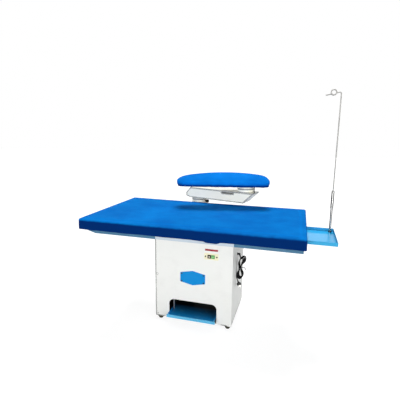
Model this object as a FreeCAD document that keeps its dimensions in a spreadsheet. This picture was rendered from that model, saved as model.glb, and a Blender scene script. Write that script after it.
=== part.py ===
import FreeCAD, Part
import math
import os
import re

import Sketcher
from FreeCAD import Placement, Rotation, Vector

# Vacuum ironing table with a swinging sleeve buck, in millimetres.
# X runs to the right along the board, Y to the back and Z up.
# The origin is on the floor under the board's centre.

SIZES = {
    # ironing board: cover, felt, perforated plate and pan
    "board_length": 1500,
    "board_depth": 850,
    "board_top": 780,
    "corner_round": 14,
    "cover_thick": 3,
    "cover_drop": 65,
    "cover_hang": 4,
    "cover_round": 12,
    "felt_thick": 20,
    "plate_thick": 1.5,
    "plate_hole": 6,
    "plate_pitch": 130,
    "pan_wall": 1.2,
    # rails under the board
    "rail_height": 28,
    "rail_width": 30,
    "rail_wall": 2,
    "rail_setback": 20,
    "rail_left": 700,
    "rail_right": 733,
    "chamfer_run": 64,
    "chamfer_rise": 18,
    # cabinet
    "cab_width": 570,
    "cab_depth": 460,
    "cab_front": 202,
    "sheet_thick": 2,
    "flange_width": 24,
    "base_thick": 3,
    "vent_width": 220,
    "vent_slot": 8,
    "vent_pitch": 20,
    "vent_low": 80,
    # pedal opening in the front panel
    "opening_width": 356,
    "opening_top": 176,
    "opening_sill": 36,
    "opening_round": 38,
    # screws of the panels
    "screw_radius": 2.5,
    "screw_head": 5,
    "screw_rise": 3,
    "screw_length": 10,
    "screw_clear": 0.3,
    "screw_inset": 14,
    # six-sided plate and red strip on the front panel
    "hex_width": 184,
    "hex_side": 68,
    "hex_height": 108,
    "hex_thick": 2,
    "hex_centre": 358,
    "hex_inset": 12,
    "strip_width": 92,
    "strip_height": 14,
    "strip_thick": 0.6,
    "strip_centre": 579,
    # push-button switch
    "switch_offset": 134,
    "switch_centre": 533,
    "switch_width": 100,
    "switch_height": 45,
    "switch_thick": 4,
    "switch_pitch": 80,
    "body_width": 66,
    "body_height": 36,
    "body_depth": 50,
    "button_size": 24,
    "button_pitch": 27,
    "button_out": 5,
    "button_length": 20,
    "button_room": 4,
    "button_clear": 0.4,
    # levelling feet
    "foot_height": 28,
    "foot_radius": 26,
    "foot_tip": 15,
    "foot_rim": 6,
    "foot_inset": 30,
    "stud_radius": 6,
    "stud_rise": 24,
    # pedal, its shaft and return spring
    "pedal_width": 344,
    "pedal_top": 74,
    "pedal_thick": 3,
    "pedal_out": 56,
    "pedal_side": 10,
    "lip_width": 358,
    "lip_low": 56,
    "lip_high": 78,
    "lip_thick": 8,
    "lip_round": 3.5,
    "pivot_back": 150,
    "pivot_radius": 6,
    "knuckle_radius": 11,
    "knuckle_half": 100,
    "bracket_gap": 1,
    "bracket_thick": 10,
    "bracket_depth": 40,
    "running": 0.05,
    "spring_radius": 14,
    "spring_wire": 1.5,
    "spring_ahead": 60,
    "spring_seat": 0.1,
    # pull rod and its guide
    "rod_left": 160,
    "rod_ahead": 150,
    "rod_radius": 5,
    "rod_gap": 0.9,
    "rod_over": 24,
    "guide_centre": 420,
    "guide_height": 30,
    "guide_depth": 24,
    # suction duct and damper
    "duct_width": 200,
    "duct_depth": 160,
    "duct_ahead": 180,
    "duct_wall": 2,
    "duct_base": 290,
    "duct_clear": 0.5,
    "damper_drop": 87,
    "damper_ahead": 110,
    "damper_radius": 5,
    "flap_clear": 2,
    "flap_thick": 3,
    "crank_thick": 6,
    "crank_gap": 0.9,
    "crank_width": 16,
    # fan and motor
    "fan_height": 430,
    "fan_radius": 145,
    "fan_depth": 110,
    "fan_wall": 2,
    "inlet_radius": 75,
    "outlet_width": 90,
    "outlet_drop": 190,
    "wheel_radius": 112,
    "wheel_depth": 70,
    "wheel_disc": 3,
    "wheel_gap": 14,
    "blade_root": 64,
    "blade_inset": 1,
    "blade_thick": 3,
    "hub_radius": 18,
    "hub_length": 34,
    "shaft_radius": 8,
    "shaft_clear": 4,
    "motor_radius": 70,
    "motor_length": 155,
    "motor_bore": 60,
    "shaft_end": 0.5,
    "motor_neck": 40,
    "saddle_rise": 30,
    "shelf_thick": 3,
    "saddle_width": 100,
    "saddle_depth": 90,
    # post behind the board and the duct that feeds it
    "post_left": 157,
    "post_gap": 5,
    "post_radius": 65,
    "post_wall": 5,
    "post_height": 152,
    "post_rise": 22,
    "bush_wall": 4,
    "bush_height": 52,
    "elbow_width": 124,
    "elbow_height": 90,
    "elbow_wall": 2,
    "elbow_over": 6,
    "clamp_thick": 22,
    "clamp_margin": 13,
    "clamp_drop": 2,
    "knob_angle": -20,
    "knob_drop": 16,
    "knob_radius": 14,
    "knob_length": 20,
    "knob_stand": 12,
    "knob_stud": 4,
    "knob_round": 3,
    "knob_gap": 0.5,
    # swinging arm
    "arm_angle": -15.4,
    "arm_reach": 441,
    "arm_width": 130,
    "arm_lift": 13,
    "arm_height": 88,
    "arm_wall": 2,
    "arm_tail": 97,
    "tail_lift": 12,
    "tail_run": 37,
    "tail_slope_run": 42,
    "tail_slope_rise": 47,
    "arm_tip_over": 8,
    "arm_tip_run": 90,
    "arm_slot": 7,
    "arm_slot_drop": 14,
    "arm_slot_back": 187,
    "arm_slot_length": 108,
    "spigot_wall": 4,
    "spigot_length": 58,
    "neck_radius": 68,
    "neck_height": 27,
    "turn_radius": 50,
    "turn_depth": 24,
    "stop_radius": 3,
    "stop_gap": 8,
    "stop_height": 41,
    # sleeve buck
    "buck_angle": 17.1,
    "buck_length": 758,
    "buck_heel_reach": 193,
    "turn_height": 22,
    "buck_plate": 4,
    "buck_edge": 38,
    "buck_tuck": 28,
    "buck_under": 36,
    "buck_sink": 4,
    "buck_crown": 106,
    "buck_crown_at": 402,
    "buck_fall": 36,
    "buck_narrow": 90,
    "buck_wide": 120,
    "buck_nose": 90,
    "buck_heel": 75,
    "bolt_radius": 6,
    "bolt_head": 4,
    "bolt_spread": 62,
    # iron tray and hanger pole
    "tray_drop": 15,
    "tray_thick": 2,
    "tray_front": 238,
    "tray_back": 106,
    "tray_length": 180,
    "tray_wall": 22,
    "tray_gap": 4,
    "tray_flange": 24,
    "pole_inset_x": 25,
    "pole_inset_y": 20,
    "seat_radius": 13,
    "seat_rise": 1,
    "nut_radius": 11,
    "nut_height": 6,
    "tube_radius": 7,
    "tube_height": 186,
    "sleeve_radius": 9.5,
    "sleeve_lap": 16,
    "sleeve_rise": 108,
    "sleeve_slope": 8,
    "sleeve_lip": 2,
    "hanger_radius": 3.8,
    "hanger_depth": 60,
    "hanger_seat": 0.5,
    "hanger_rise": 651,
    "hanger_bend": 14,
    "hanger_fall": 12,
    "hanger_reach": 97,
    "loop_radius": 17,
    "loop_lead": 12,
    "loop_reach": 45,
    "loop_lift": 7,
    # mains cord
    "cord_radius": 3.6,
    "gland_back": -29,
    "gland_height": 512,
    "gland_radius": 9,
    "gland_nose": 6,
    "gland_flange": 3,
    "gland_root": 7.5,
    "gland_tip": 5.2,
    "gland_out": 15,
    "gland_slope": 0.45,
    "gland_length": 20,
    "cord_drop": 2,
    "hank_stand": 26,
    "hank_waist": 415,
    "hank_rise": 88,
    "hank_rise_step": 4,
    "hank_drop": 76,
    "hank_drop_step": 2,
    "hank_left": 21,
    "hank_right": 20,
    "hank_right_step": 6,
    "hank_low_left": 10,
    "hank_low_left_step": 2.5,
    "hank_low_right": 22,
    "hank_low_right_step": 2,
    "hank_pinch": 4.4,
    "hank_layer": 8.6,
    "hank_lean": 0.3,
    "tie_height": 9,
    "tie_wall": 2,
    "tie_clear": 0.4,
    "tie_tail": 26,
    "plug_radius": 15,
    "plug_neck": 5.6,
    "plug_height": 30,
    "plug_pin": 2.4,
    "plug_pin_length": 16,
    "plug_pin_pitch": 19,
}

DERIVED = {
    "half_board": "board_length / 2",
    "half_depth": "board_depth / 2",
    "cover_base": "board_top - cover_drop",
    "hem_base": "cover_base - cover_hang",
    "pad_top": "board_top - cover_thick",
    "plate_top": "pad_top - felt_thick",
    "pan_top": "plate_top - plate_thick",
    "inner_half_x": "half_board - cover_thick",
    "inner_half_y": "half_depth - cover_thick",
    "inner_corner": "corner_round - cover_thick",
    "inner_round": "min(cover_round - cover_thick; felt_thick - 1)",
    "rail_base": "cover_base - rail_height",
    "rail_face": "half_depth - rail_setback",
    "rail_inside": "rail_face - rail_width",
    "half_cab": "cab_width / 2",
    "cab_back": "cab_depth - cab_front",
    "half_inside": "half_cab - sheet_thick",
    "floor_top": "foot_height + base_thick",
    "front_inside": "cab_front - sheet_thick",
    "back_inside": "cab_back - sheet_thick",
    "half_duct": "duct_width / 2",
    "duct_back": "duct_depth - duct_ahead",
    "fan_back": "duct_back + fan_depth",
    "wheel_front": "duct_back + wheel_gap",
    "wheel_back": "wheel_front + wheel_depth",
    "spigot_radius": "post_radius - post_wall - bush_wall - running",
    "clamp_top": "hem_base - clamp_drop",
    "pivot_height": "pedal_top - pedal_thick / 2",
    "pedal_under": "pedal_top - pedal_thick",
    "switch_face": "cab_front + switch_thick",
    "tray_start": "half_board + tray_gap",
    "tray_right": "tray_start + tray_length",
    "tray_floor": "cover_base - tray_drop",
    "pole_seat": "tray_floor + seat_rise",
    "shelf_height": "fan_height - motor_radius - saddle_rise",
    "pole_right": "tray_right - pole_inset_x",
    "pole_back": "tray_back - pole_inset_y",
    "tube_top": "tray_floor + tube_height",
    "sleeve_top": "tube_top + sleeve_rise",
    "hanger_top": "sleeve_top + hanger_rise",
    "damper_height": "rail_base - damper_drop",
    "post_back": "half_depth + post_gap + post_radius",
    "post_top": "board_top + post_rise",
    "post_base": "post_top - post_height",
    "knob_height": "post_top - knob_drop",
    "arm_base": "post_top + arm_lift",
    "arm_top": "arm_base + arm_height",
    "arm_tip": "arm_reach + arm_tip_over",
    "arm_slot_start": "arm_reach - arm_slot_back",
    "arm_slot_end": "arm_slot_start + arm_slot_length",
    "neck_top": "arm_top + neck_height",
    "stop_top": "arm_top + stop_height",
    "buck_base": "neck_top + turn_height",
}

NEAR = 1e-6
SCREW_ROWS = 3
VENT_SLOTS = 6
PLATE_COLUMNS = 11
PLATE_ROWS = 6
BLADES = 14
SPRING_TURNS = 6
HANK_TURNS = 4
BUCK_BOLTS_AT = (-440, -280, -120, 120)
BUCK_STATIONS = 14
BUCK_TAPER = 0.6
BUCK_LEAST_DOME = 0.2
BUCK_END_GAP = 3
BULGE_OUT = 0.71
BULGE_UP = 0.29
LOBE_SHARE = 0.62
LAST_LEVEL_PLACE = 5
LOOP_ROOM = 1.5
LOOP_TURN = (-45, -90, -180, -270, -360, -450, -495)
RUN_SHARE = 0.45
LEAST_CORD_GAP = 0.4
SAMPLE_STEP = 2.0

doc = FreeCAD.newDocument("ironing_table")
sheet = doc.addObject("Spreadsheet::Sheet", "dims")
for row, (alias, size) in enumerate(SIZES.items(), start=1):
    sheet.set(f"A{row}", alias)
    sheet.set(f"B{row}", str(size))
    sheet.setAlias(f"B{row}", alias)
doc.recompute()

SUB_PARTS = []


# Sizes and expressions


def formula(text):
    """The text with each size and derived value spelled out as a document expression."""

    def spell(match):
        word = match.group(0)
        if word in DERIVED:
            return f"({formula(DERIVED[word])})"
        return f"dims.{word}" if word in SIZES else word

    return re.sub(r"[a-z][a-z_]*", spell, str(text))


def value(text):
    return float(sheet.evalExpression(formula(text)))


def sub_part(label, piece):
    piece.Label = label
    SUB_PARTS.append(piece)
    return piece


# Blocks, round bars and booleans

TURN_TO = {
    "x": Rotation(Vector(0, 1, 0), 90),
    "y": Rotation(Vector(1, 0, 0), -90),
    "z": Rotation(),
}


def block(x, y, z):
    """A box between a low and a high formula on each axis."""
    piece = doc.addObject("Part::Box", "block")
    for side, axis, (low, high) in zip(("Length", "Width", "Height"), "xyz", (x, y, z)):
        piece.setExpression(side, formula(f"({high}) - ({low})"))
        piece.setExpression(f"Placement.Base.{axis}", formula(low))
    return piece


def bar(radius, along, low, high, centre):
    """A round bar along one axis; centre gives its place on the other two."""
    piece = doc.addObject("Part::Cylinder", "bar")
    piece.Placement = Placement(Vector(), TURN_TO[along])
    piece.setExpression("Radius", formula(radius))
    piece.setExpression("Height", formula(f"({high}) - ({low})"))
    piece.setExpression(f"Placement.Base.{along}", formula(low))
    for axis, place in zip([axis for axis in "xyz" if axis != along], centre):
        piece.setExpression(f"Placement.Base.{axis}", formula(place))
    return piece


def group(pieces):
    piece = doc.addObject("Part::Compound", "group")
    piece.Links = list(pieces)
    return piece


def fuse(pieces):
    piece = doc.addObject("Part::MultiFuse", "fuse")
    piece.Shapes = list(pieces)
    piece.Refine = True
    return piece


def cut(base, tools):
    piece = doc.addObject("Part::Cut", "cut")
    piece.Base = base
    piece.Tool = tools[0] if len(tools) == 1 else group(tools)
    piece.Refine = True
    return piece


def place(piece, x, y, angle="0"):
    """Stand a piece that was drawn around Z at a spot of the table, turned about the upright axis."""
    piece.Placement = Placement(Vector(value(x), value(y), 0), Rotation(Vector(0, 0, 1), value(angle)))
    return piece


# Sketched bodies


def new_body(name):
    return doc.addObject("PartDesign::Body", name)


def sketch_on(body, role, offset="0"):
    sketch = body.newObject("Sketcher::SketchObject", f"{body.Name}_sketch")
    plane = next(item for item in body.Origin.OriginFeatures if item.Role == role)
    sketch.AttachmentSupport = [(plane, "")]
    sketch.MapMode = "FlatFace"
    sketch.setExpression("AttachmentOffset.Base.z", formula(offset))
    return sketch


def pin_point(sketch, shape, spot, point, texts):
    """Tie one point of a sketch to its two formulas."""
    for kind, on_axis, place_now, text in zip(("DistanceX", "DistanceY"), (-2, -1), point, texts):
        if abs(place_now) < NEAR:
            sketch.addConstraint(Sketcher.Constraint("PointOnObject", shape, spot, on_axis))
            continue
        mark = sketch.addConstraint(Sketcher.Constraint(kind, -1, 1, shape, spot, place_now))
        sketch.setExpression(f"Constraints[{mark}]", formula(text))


def polygon(sketch, corners):
    """A closed outline of straight lines whose corners are pairs of formulas."""
    spots = [(value(across), value(up)) for across, up in corners]
    count = len(spots)
    first = sketch.GeometryCount
    for this in range(count):
        ends = spots[this], spots[(this + 1) % count]
        sketch.addGeometry(Part.LineSegment(*[Vector(*end, 0) for end in ends]), False)
    for this in range(count):
        following = first + (this + 1) % count
        sketch.addConstraint(Sketcher.Constraint("Coincident", first + this, 2, following, 1))
    for this in range(count):
        pin_point(sketch, first + this, 1, spots[this], corners[this])


def rectangle(sketch, across, up):
    polygon(sketch, [(across[0], up[0]), (across[1], up[0]), (across[1], up[1]), (across[0], up[1])])


def circle(sketch, radius, centre):
    spot = value(centre[0]), value(centre[1])
    shape = sketch.addGeometry(Part.Circle(Vector(*spot, 0), Vector(0, 0, 1), value(radius)), False)
    mark = sketch.addConstraint(Sketcher.Constraint("Radius", shape, value(radius)))
    sketch.setExpression(f"Constraints[{mark}]", formula(radius))
    pin_point(sketch, shape, 3, spot, centre)


def pad(body, sketch, length, midplane=False):
    feature = body.newObject("PartDesign::Pad", f"{body.Name}_extrusion")
    feature.Profile = sketch
    feature.Midplane = midplane
    feature.setExpression("Length", formula(length))
    body.Tip = feature
    return feature


def pocket_through(body, sketch):
    feature = body.newObject("PartDesign::Pocket", f"{body.Name}_pocket")
    feature.Profile = sketch
    feature.Type = "ThroughAll"
    feature.Midplane = True
    body.Tip = feature
    return feature


def round_edges(body, wanted, radius):
    """Fillet the body's edges that the test picks."""
    doc.recompute()
    base = body.Tip
    names = [f"Edge{place}" for place, edge in enumerate(base.Shape.Edges, start=1) if wanted(edge)]
    feature = body.newObject("PartDesign::Fillet", f"{body.Name}_fillet")
    feature.Base = (base, names)
    feature.setExpression("Radius", formula(radius))
    body.Tip = feature


def upright(edge):
    ends = [vertex.Point for vertex in edge.Vertexes]
    return len(ends) == 2 and math.hypot(ends[0].x - ends[1].x, ends[0].y - ends[1].y) < NEAR


def level_with(height):
    return lambda edge: all(abs(vertex.Point.z - height) < NEAR for vertex in edge.Vertexes)


def slab(name, half_x, half_y, low, high, corner, crown=None):
    """A flat block centred on Z with rounded upright edges and, where given, a rounded upper rim."""
    body = new_body(name)
    sketch = sketch_on(body, "XY_Plane", low)
    rectangle(sketch, (f"-({half_x})", half_x), (f"-({half_y})", half_y))
    pad(body, sketch, f"({high}) - ({low})")
    round_edges(body, upright, corner)
    if crown:
        round_edges(body, level_with(value(high)), crown)
    return body


def turned(name, corners):
    """A body of revolution about Z; corners are pairs of radius and height."""
    body = new_body(name)
    sketch = sketch_on(body, "XZ_Plane")
    polygon(sketch, corners)
    feature = body.newObject("PartDesign::Revolution", f"{name}_revolution")
    feature.Profile = sketch
    feature.ReferenceAxis = (sketch, ["V_Axis"])
    feature.Angle = 360
    body.Tip = feature
    return body


def ring(name, inner, outer, low, high):
    return turned(name, [(inner, low), (outer, low), (outer, high), (inner, high)])


# Tubes along arcs


def unit(vector):
    return vector * (1 / vector.Length)


def arc_from(start, tangent, end):
    """The edge that leaves start along the tangent and reaches end: an arc, or a line where they agree."""
    chord = end - start
    lean = tangent.getAngle(chord)
    if lean < 1e-4:
        return Part.LineSegment(start, end).toShape()
    middle = start + chord * 0.5
    corner = start + unit(tangent) * (chord.Length / 2 / math.cos(lean))
    top = middle + (corner - middle) * (math.tan(lean / 2) / math.tan(lean))
    return Part.Arc(start, top, end).toShape()


def biarc(start, leaving, end, arriving):
    """Two arcs that share a tangent where they meet."""
    span = end - start
    both = leaving + arriving
    square = 2 * (1 - leaving.dot(arriving))
    along = span.dot(both)
    if square < NEAR:
        reach = span.dot(span) / (2 * along)
    else:
        reach = (math.sqrt(along * along + square * span.dot(span)) - along) / square
    meeting = (start + leaving * reach + end - arriving * reach) * 0.5
    first = arc_from(start, leaving, meeting)
    way = unit(end - arriving * reach - start - leaving * reach)
    second = arc_from(meeting, way, end)
    return [first, second]


def swept(edges, start, tangent, radius):
    """A round tube along joined edges, with its volume compared with section times length."""
    path = Part.Wire(Part.__sortEdges__(edges))
    section = Part.Wire(Part.makeCircle(radius, start, tangent))
    solid = path.makePipeShell([section], True, False)
    share = solid.Volume / (math.pi * radius * radius * path.Length)
    return solid, path, share


def shaped(label, shape):
    """A sub-part whose shape is made in code from the sheet's sizes."""
    piece = doc.addObject("Part::Feature", label)
    piece.Shape = shape
    return sub_part(label, piece)


def route_edges(points):
    """Straight runs through the points, each corner rounded as far as its two runs allow."""
    edges = []
    start = points[0]
    radii = []
    for before, corner, after in zip(points, points[1:], points[2:]):
        way_in = unit(corner - before)
        way_out = unit(after - corner)
        turn = way_in.getAngle(way_out)
        cut_back = RUN_SHARE * min((corner - before).Length, (after - corner).Length)
        radii.append(cut_back / math.tan(turn / 2))
        first = corner - way_in * cut_back
        last = corner + way_out * cut_back
        edges.append(Part.LineSegment(start, first).toShape())
        edges.append(arc_from(first, way_in, last))
        start = last
    edges.append(Part.LineSegment(start, points[-1]).toShape())
    return edges, radii


# Ironing board

outer_cover = slab(
    "cover_outside", "half_board", "half_depth", "hem_base", "board_top", "corner_round", "cover_round"
)
inner_cover = slab(
    "cover_inside", "inner_half_x", "inner_half_y", "hem_base", "pad_top", "inner_corner", "inner_round"
)
sub_part("board_cover", cut(outer_cover, [inner_cover]))
felt = slab("felt", "inner_half_x", "inner_half_y", "plate_top", "pad_top", "inner_corner", "inner_round")
sub_part("felt_pad", felt)

air_plate = slab("air_plate", "inner_half_x", "inner_half_y", "pan_top", "plate_top", "inner_corner")
hole_sketch = sketch_on(air_plate, "XY_Plane", "pan_top")
hole_span_x = f"plate_pitch * {PLATE_COLUMNS - 1}"
hole_span_y = f"plate_pitch * {PLATE_ROWS - 1}"
circle(hole_sketch, "plate_hole", (f"-{hole_span_x} / 2", f"-{hole_span_y} / 2"))
hole = pocket_through(air_plate, hole_sketch)
doc.recompute()
holes = air_plate.newObject("PartDesign::LinearPattern", "air_holes")
holes.Originals = [hole]
holes.Direction = (hole_sketch, ["H_Axis"])
holes.Direction2 = (hole_sketch, ["V_Axis"])
holes.Occurrences = PLATE_COLUMNS
holes.Occurrences2 = PLATE_ROWS
holes.setExpression("Length", formula(hole_span_x))
holes.setExpression("Length2", formula(hole_span_y))
air_plate.Tip = holes
sub_part("perforated_plate", air_plate)

pan_inner_x = "inner_half_x - pan_wall"
pan_inner_y = "inner_half_y - pan_wall"
pan_outside = slab("pan_outside", "inner_half_x", "inner_half_y", "cover_base", "pan_top", "inner_corner")
pan_inside = slab(
    "pan_inside", pan_inner_x, pan_inner_y, "cover_base + pan_wall", "pan_top", "inner_corner - pan_wall"
)
duct_inside_x = ("duct_wall - half_duct", "half_duct - duct_wall")
duct_inside_y = ("duct_wall - duct_ahead", "duct_back - duct_wall")
pan_port = block(duct_inside_x, duct_inside_y, ("cover_base", "cover_base + pan_wall"))
sub_part("board_pan", cut(pan_outside, [pan_inside, pan_port]))

# Rails under the board


def channel_rail(label, side):
    """A channel that opens towards the table's middle, with its left end cut off at a slant."""
    body = new_body(label)
    sketch = sketch_on(body, "YZ_Plane", "-rail_left")
    face = f"{side} * rail_face"
    web = f"{side} * (rail_face - rail_wall)"
    inside = f"{side} * rail_inside"
    low = "rail_base + rail_wall"
    high = "cover_base - rail_wall"
    polygon(sketch, [
        (face, "rail_base"), (inside, "rail_base"), (inside, low), (web, low),
        (web, high), (inside, high), (inside, "cover_base"), (face, "cover_base"),
    ])
    pad(body, sketch, "rail_left + rail_right")
    slant = sketch_on(body, "XZ_Plane")
    polygon(slant, [
        ("-rail_left", "rail_base"),
        ("chamfer_run - rail_left", "rail_base"),
        ("-rail_left", "rail_base + chamfer_rise"),
    ])
    pocket_through(body, slant)
    return sub_part(label, body)


def square_tube(left):
    """A tube across the table between the two channel rails."""
    span = ("-rail_inside", "rail_inside")
    outside = block((left, f"({left}) + rail_width"), span, ("rail_base", "cover_base"))
    inside_x = (f"({left}) + rail_wall", f"({left}) + rail_width - rail_wall")
    return cut(outside, [block(inside_x, span, ("rail_base + rail_wall", "cover_base - rail_wall"))])


channel_rail("front_rail", "-1")
channel_rail("rear_rail", "1")
sub_part("cross_rails", group([square_tube("-half_cab"), square_tube("half_cab - rail_width")]))
sub_part("end_rails", group([square_tube("chamfer_run - rail_left"), square_tube("rail_right - rail_width")]))

# Cabinet


def spread(low, high, count):
    """Evenly spaced formulas from low to high."""
    return [f"({low}) + (({high}) - ({low})) * {step} / {count - 1}" for step in range(count)]


screw_x = "half_cab - screw_inset"
screw_heights = spread("foot_height + screw_inset", "rail_base - screw_inset", SCREW_ROWS)
FRONT_SPOTS = [(f"{side} * ({screw_x})", height) for side in (-1, 1) for height in screw_heights]
SWITCH_SPOTS = [(f"switch_offset + {side} * switch_pitch / 2", "switch_centre") for side in (-1, 1)]
HEX_SPOTS = [
    (f"{side} * (hex_width / 2 - hex_inset)", f"hex_centre + {level} * (hex_side / 2 - hex_inset / 2)")
    for side in (-1, 1) for level in (-1, 1)
]


def screw_holes(spots, low, high):
    return [bar("screw_radius + screw_clear", "y", low, high, spot) for spot in spots]


def screw(spot, face, inward=1):
    """A flat head on a face square to Y and a shank into the cabinet; inward is the shank's way along Y."""
    head = (f"({face}) - screw_rise", face) if inward > 0 else (face, f"({face}) + screw_rise")
    shank = (face, f"({face}) + screw_length") if inward > 0 else (f"({face}) - screw_length", face)
    return fuse([bar("screw_head", "y", *head, spot), bar("screw_radius", "y", *shank, spot)])


half_opening = "opening_width / 2"
opening_low = block(
    (f"-({half_opening})", half_opening),
    ("-cab_front", "-front_inside"), ("opening_sill", "opening_top - opening_round"),
)
opening_high = block(
    (f"opening_round - {half_opening}", f"{half_opening} - opening_round"),
    ("-cab_front", "-front_inside"), ("opening_sill", "opening_top"),
)
opening_corners = [
    bar("opening_round", "y", "-cab_front", "-front_inside",
        (f"{side} * ({half_opening} - opening_round)", "opening_top - opening_round"))
    for side in (-1, 1)
]
switch_x = ("switch_offset - body_width / 2", "switch_offset + body_width / 2")
switch_z = ("switch_centre - body_height / 2", "switch_centre + body_height / 2")
switch_hole = block(switch_x, ("-cab_front", "-front_inside"), switch_z)
front_sheet = block(("-half_cab", "half_cab"), ("-cab_front", "-front_inside"), ("foot_height", "rail_base"))
front_holes = screw_holes(FRONT_SPOTS + SWITCH_SPOTS + HEX_SPOTS, "-cab_front", "-front_inside")
front_cuts = [fuse([opening_low, opening_high] + opening_corners), switch_hole] + front_holes
sub_part("front_panel", cut(front_sheet, front_cuts))


def side_panel(label, side):
    """A side sheet with a flange turned in behind the front panel and another before the back panel."""
    body = new_body(label)
    sketch = sketch_on(body, "XY_Plane", "foot_height")
    face = f"{side} * half_cab"
    inside = f"{side} * half_inside"
    edge = f"{side} * (half_cab - flange_width)"
    polygon(sketch, [
        (face, "-front_inside"), (edge, "-front_inside"), (edge, "sheet_thick - front_inside"),
        (inside, "sheet_thick - front_inside"), (inside, "back_inside - sheet_thick"),
        (edge, "back_inside - sheet_thick"), (edge, "back_inside"), (face, "back_inside"),
    ])
    pad(body, sketch, "rail_base - foot_height")
    spots = [spot for spot in FRONT_SPOTS if spot[0].startswith(f"{side} ")]
    tools = screw_holes(spots, "-front_inside", "sheet_thick - front_inside")
    tools += screw_holes(spots, "back_inside - sheet_thick", "back_inside")
    return body, tools


left_sheet, left_tools = side_panel("left_sheet", -1)
sub_part("left_panel", cut(left_sheet, left_tools))
right_sheet, right_tools = side_panel("right_sheet", 1)
gland_hole = bar("gland_nose", "x", "half_inside", "half_cab", ("gland_back", "gland_height"))
sub_part("right_panel", cut(right_sheet, right_tools + [gland_hole]))

elbow_x = ("-post_left - elbow_width / 2", "elbow_width / 2 - post_left")
elbow_z = ("post_base - elbow_height", "post_base")
elbow_inside_x = (f"{elbow_x[0]} + elbow_wall", f"{elbow_x[1]} - elbow_wall")
elbow_inside_z = (f"{elbow_z[0]} + elbow_wall", f"{elbow_z[1]} - elbow_wall")
back_sheet = block(("-half_cab", "half_cab"), ("back_inside", "cab_back"), ("foot_height", "rail_base"))
back_cuts = [block(elbow_inside_x, ("back_inside", "cab_back"), elbow_inside_z)]
for slot in range(VENT_SLOTS):
    slot_low = f"vent_low + {slot} * vent_pitch"
    slot_z = (slot_low, f"{slot_low} + vent_slot")
    back_cuts.append(block(("-vent_width / 2", "vent_width / 2"), ("back_inside", "cab_back"), slot_z))
back_cuts += screw_holes(FRONT_SPOTS, "back_inside", "cab_back")
sub_part("back_panel", cut(back_sheet, back_cuts))

inside_x = ("-half_inside", "half_inside")
inside_y = ("sheet_thick - front_inside", "back_inside - sheet_thick")
FOOT_SPOTS = [
    (f"{side} * (half_cab - foot_inset)", depth)
    for side in (-1, 1) for depth in ("foot_inset - cab_front", "cab_back - foot_inset")
]
stud_holes = [bar("stud_radius", "z", "foot_height", "floor_top", spot) for spot in FOOT_SPOTS]
floor_sheet = block(inside_x, inside_y, ("foot_height", "floor_top"))
sub_part("base_plate", cut(floor_sheet, stud_holes))

deck_sheet = block(inside_x, inside_y, ("rail_base - base_thick", "rail_base"))
deck_hole = block(
    ("-half_duct - duct_clear", "half_duct + duct_clear"),
    ("-duct_ahead - duct_clear", "duct_back + duct_clear"), ("rail_base - base_thick", "rail_base"),
)
sub_part("top_deck", cut(deck_sheet, [deck_hole]))


def levelling_foot(place_in_list, spot):
    """A tapered foot with its stud through the base plate."""
    body = turned(f"foot_{place_in_list}", [
        ("0", "0"),
        ("foot_tip", "0"),
        ("foot_radius", "foot_height - foot_rim"),
        ("foot_radius", "foot_height"),
        ("stud_radius", "foot_height"),
        ("stud_radius", "foot_height + stud_rise"),
        ("0", "foot_height + stud_rise"),
    ])
    return place(body, *spot)


sub_part("levelling_feet", group([levelling_foot(number, spot) for number, spot in enumerate(FOOT_SPOTS)]))

# Six-sided plate, red strip and switch on the front panel

hex_body = new_body("hex_sheet")
hex_sketch = sketch_on(hex_body, "XZ_Plane", "cab_front")
hex_low = "hex_centre - hex_height / 2"
hex_high = "hex_centre + hex_height / 2"
shoulder_low = "hex_centre - hex_side / 2"
shoulder_high = "hex_centre + hex_side / 2"
polygon(hex_sketch, [
    ("0", hex_low), ("hex_width / 2", shoulder_low), ("hex_width / 2", shoulder_high),
    ("0", hex_high), ("-hex_width / 2", shoulder_high), ("-hex_width / 2", shoulder_low),
])
pad(hex_body, hex_sketch, "hex_thick")
hex_holes = screw_holes(HEX_SPOTS, "-cab_front - hex_thick", "-cab_front")
sub_part("hex_plate", cut(hex_body, hex_holes))
strip_x = ("switch_offset - strip_width / 2", "switch_offset + strip_width / 2")
strip_z = ("strip_centre - strip_height / 2", "strip_centre + strip_height / 2")
sub_part("red_strip", block(strip_x, ("-cab_front - strip_thick", "-cab_front"), strip_z))

BUTTONS = {"stop_button": -1, "start_button": 1}


def button_space(side, grow, low, high):
    """The room of one button, grown all round, between two depths."""
    middle = f"switch_offset + {side} * button_pitch / 2"
    half = f"button_size / 2 + {grow}"
    across = (f"{middle} - ({half})", f"{middle} + {half}")
    up = (f"switch_centre - ({half})", f"switch_centre + {half}")
    return block(across, (low, high), up)


button_front = "-switch_face - button_out"
button_back = f"{button_front} + button_length"
plate_x = ("switch_offset - switch_width / 2", "switch_offset + switch_width / 2")
plate_z = ("switch_centre - switch_height / 2", "switch_centre + switch_height / 2")
switch_sheet = block(plate_x, ("-switch_face", "-cab_front"), plate_z)
plate_cuts = [button_space(side, "button_clear", "-switch_face", "-cab_front") for side in BUTTONS.values()]
plate_cuts += screw_holes(SWITCH_SPOTS, "-switch_face", "-cab_front")
sub_part("switch_plate", cut(switch_sheet, plate_cuts))
switch_block = block(switch_x, ("-cab_front", "body_depth - cab_front"), switch_z)
pocket_end = f"{button_back} + button_room"
body_cuts = [button_space(side, "button_clear", "-cab_front", pocket_end) for side in BUTTONS.values()]
sub_part("switch_body", cut(switch_block, body_cuts))
for button_name, side in BUTTONS.items():
    sub_part(button_name, button_space(side, "0", button_front, button_back))

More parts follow.
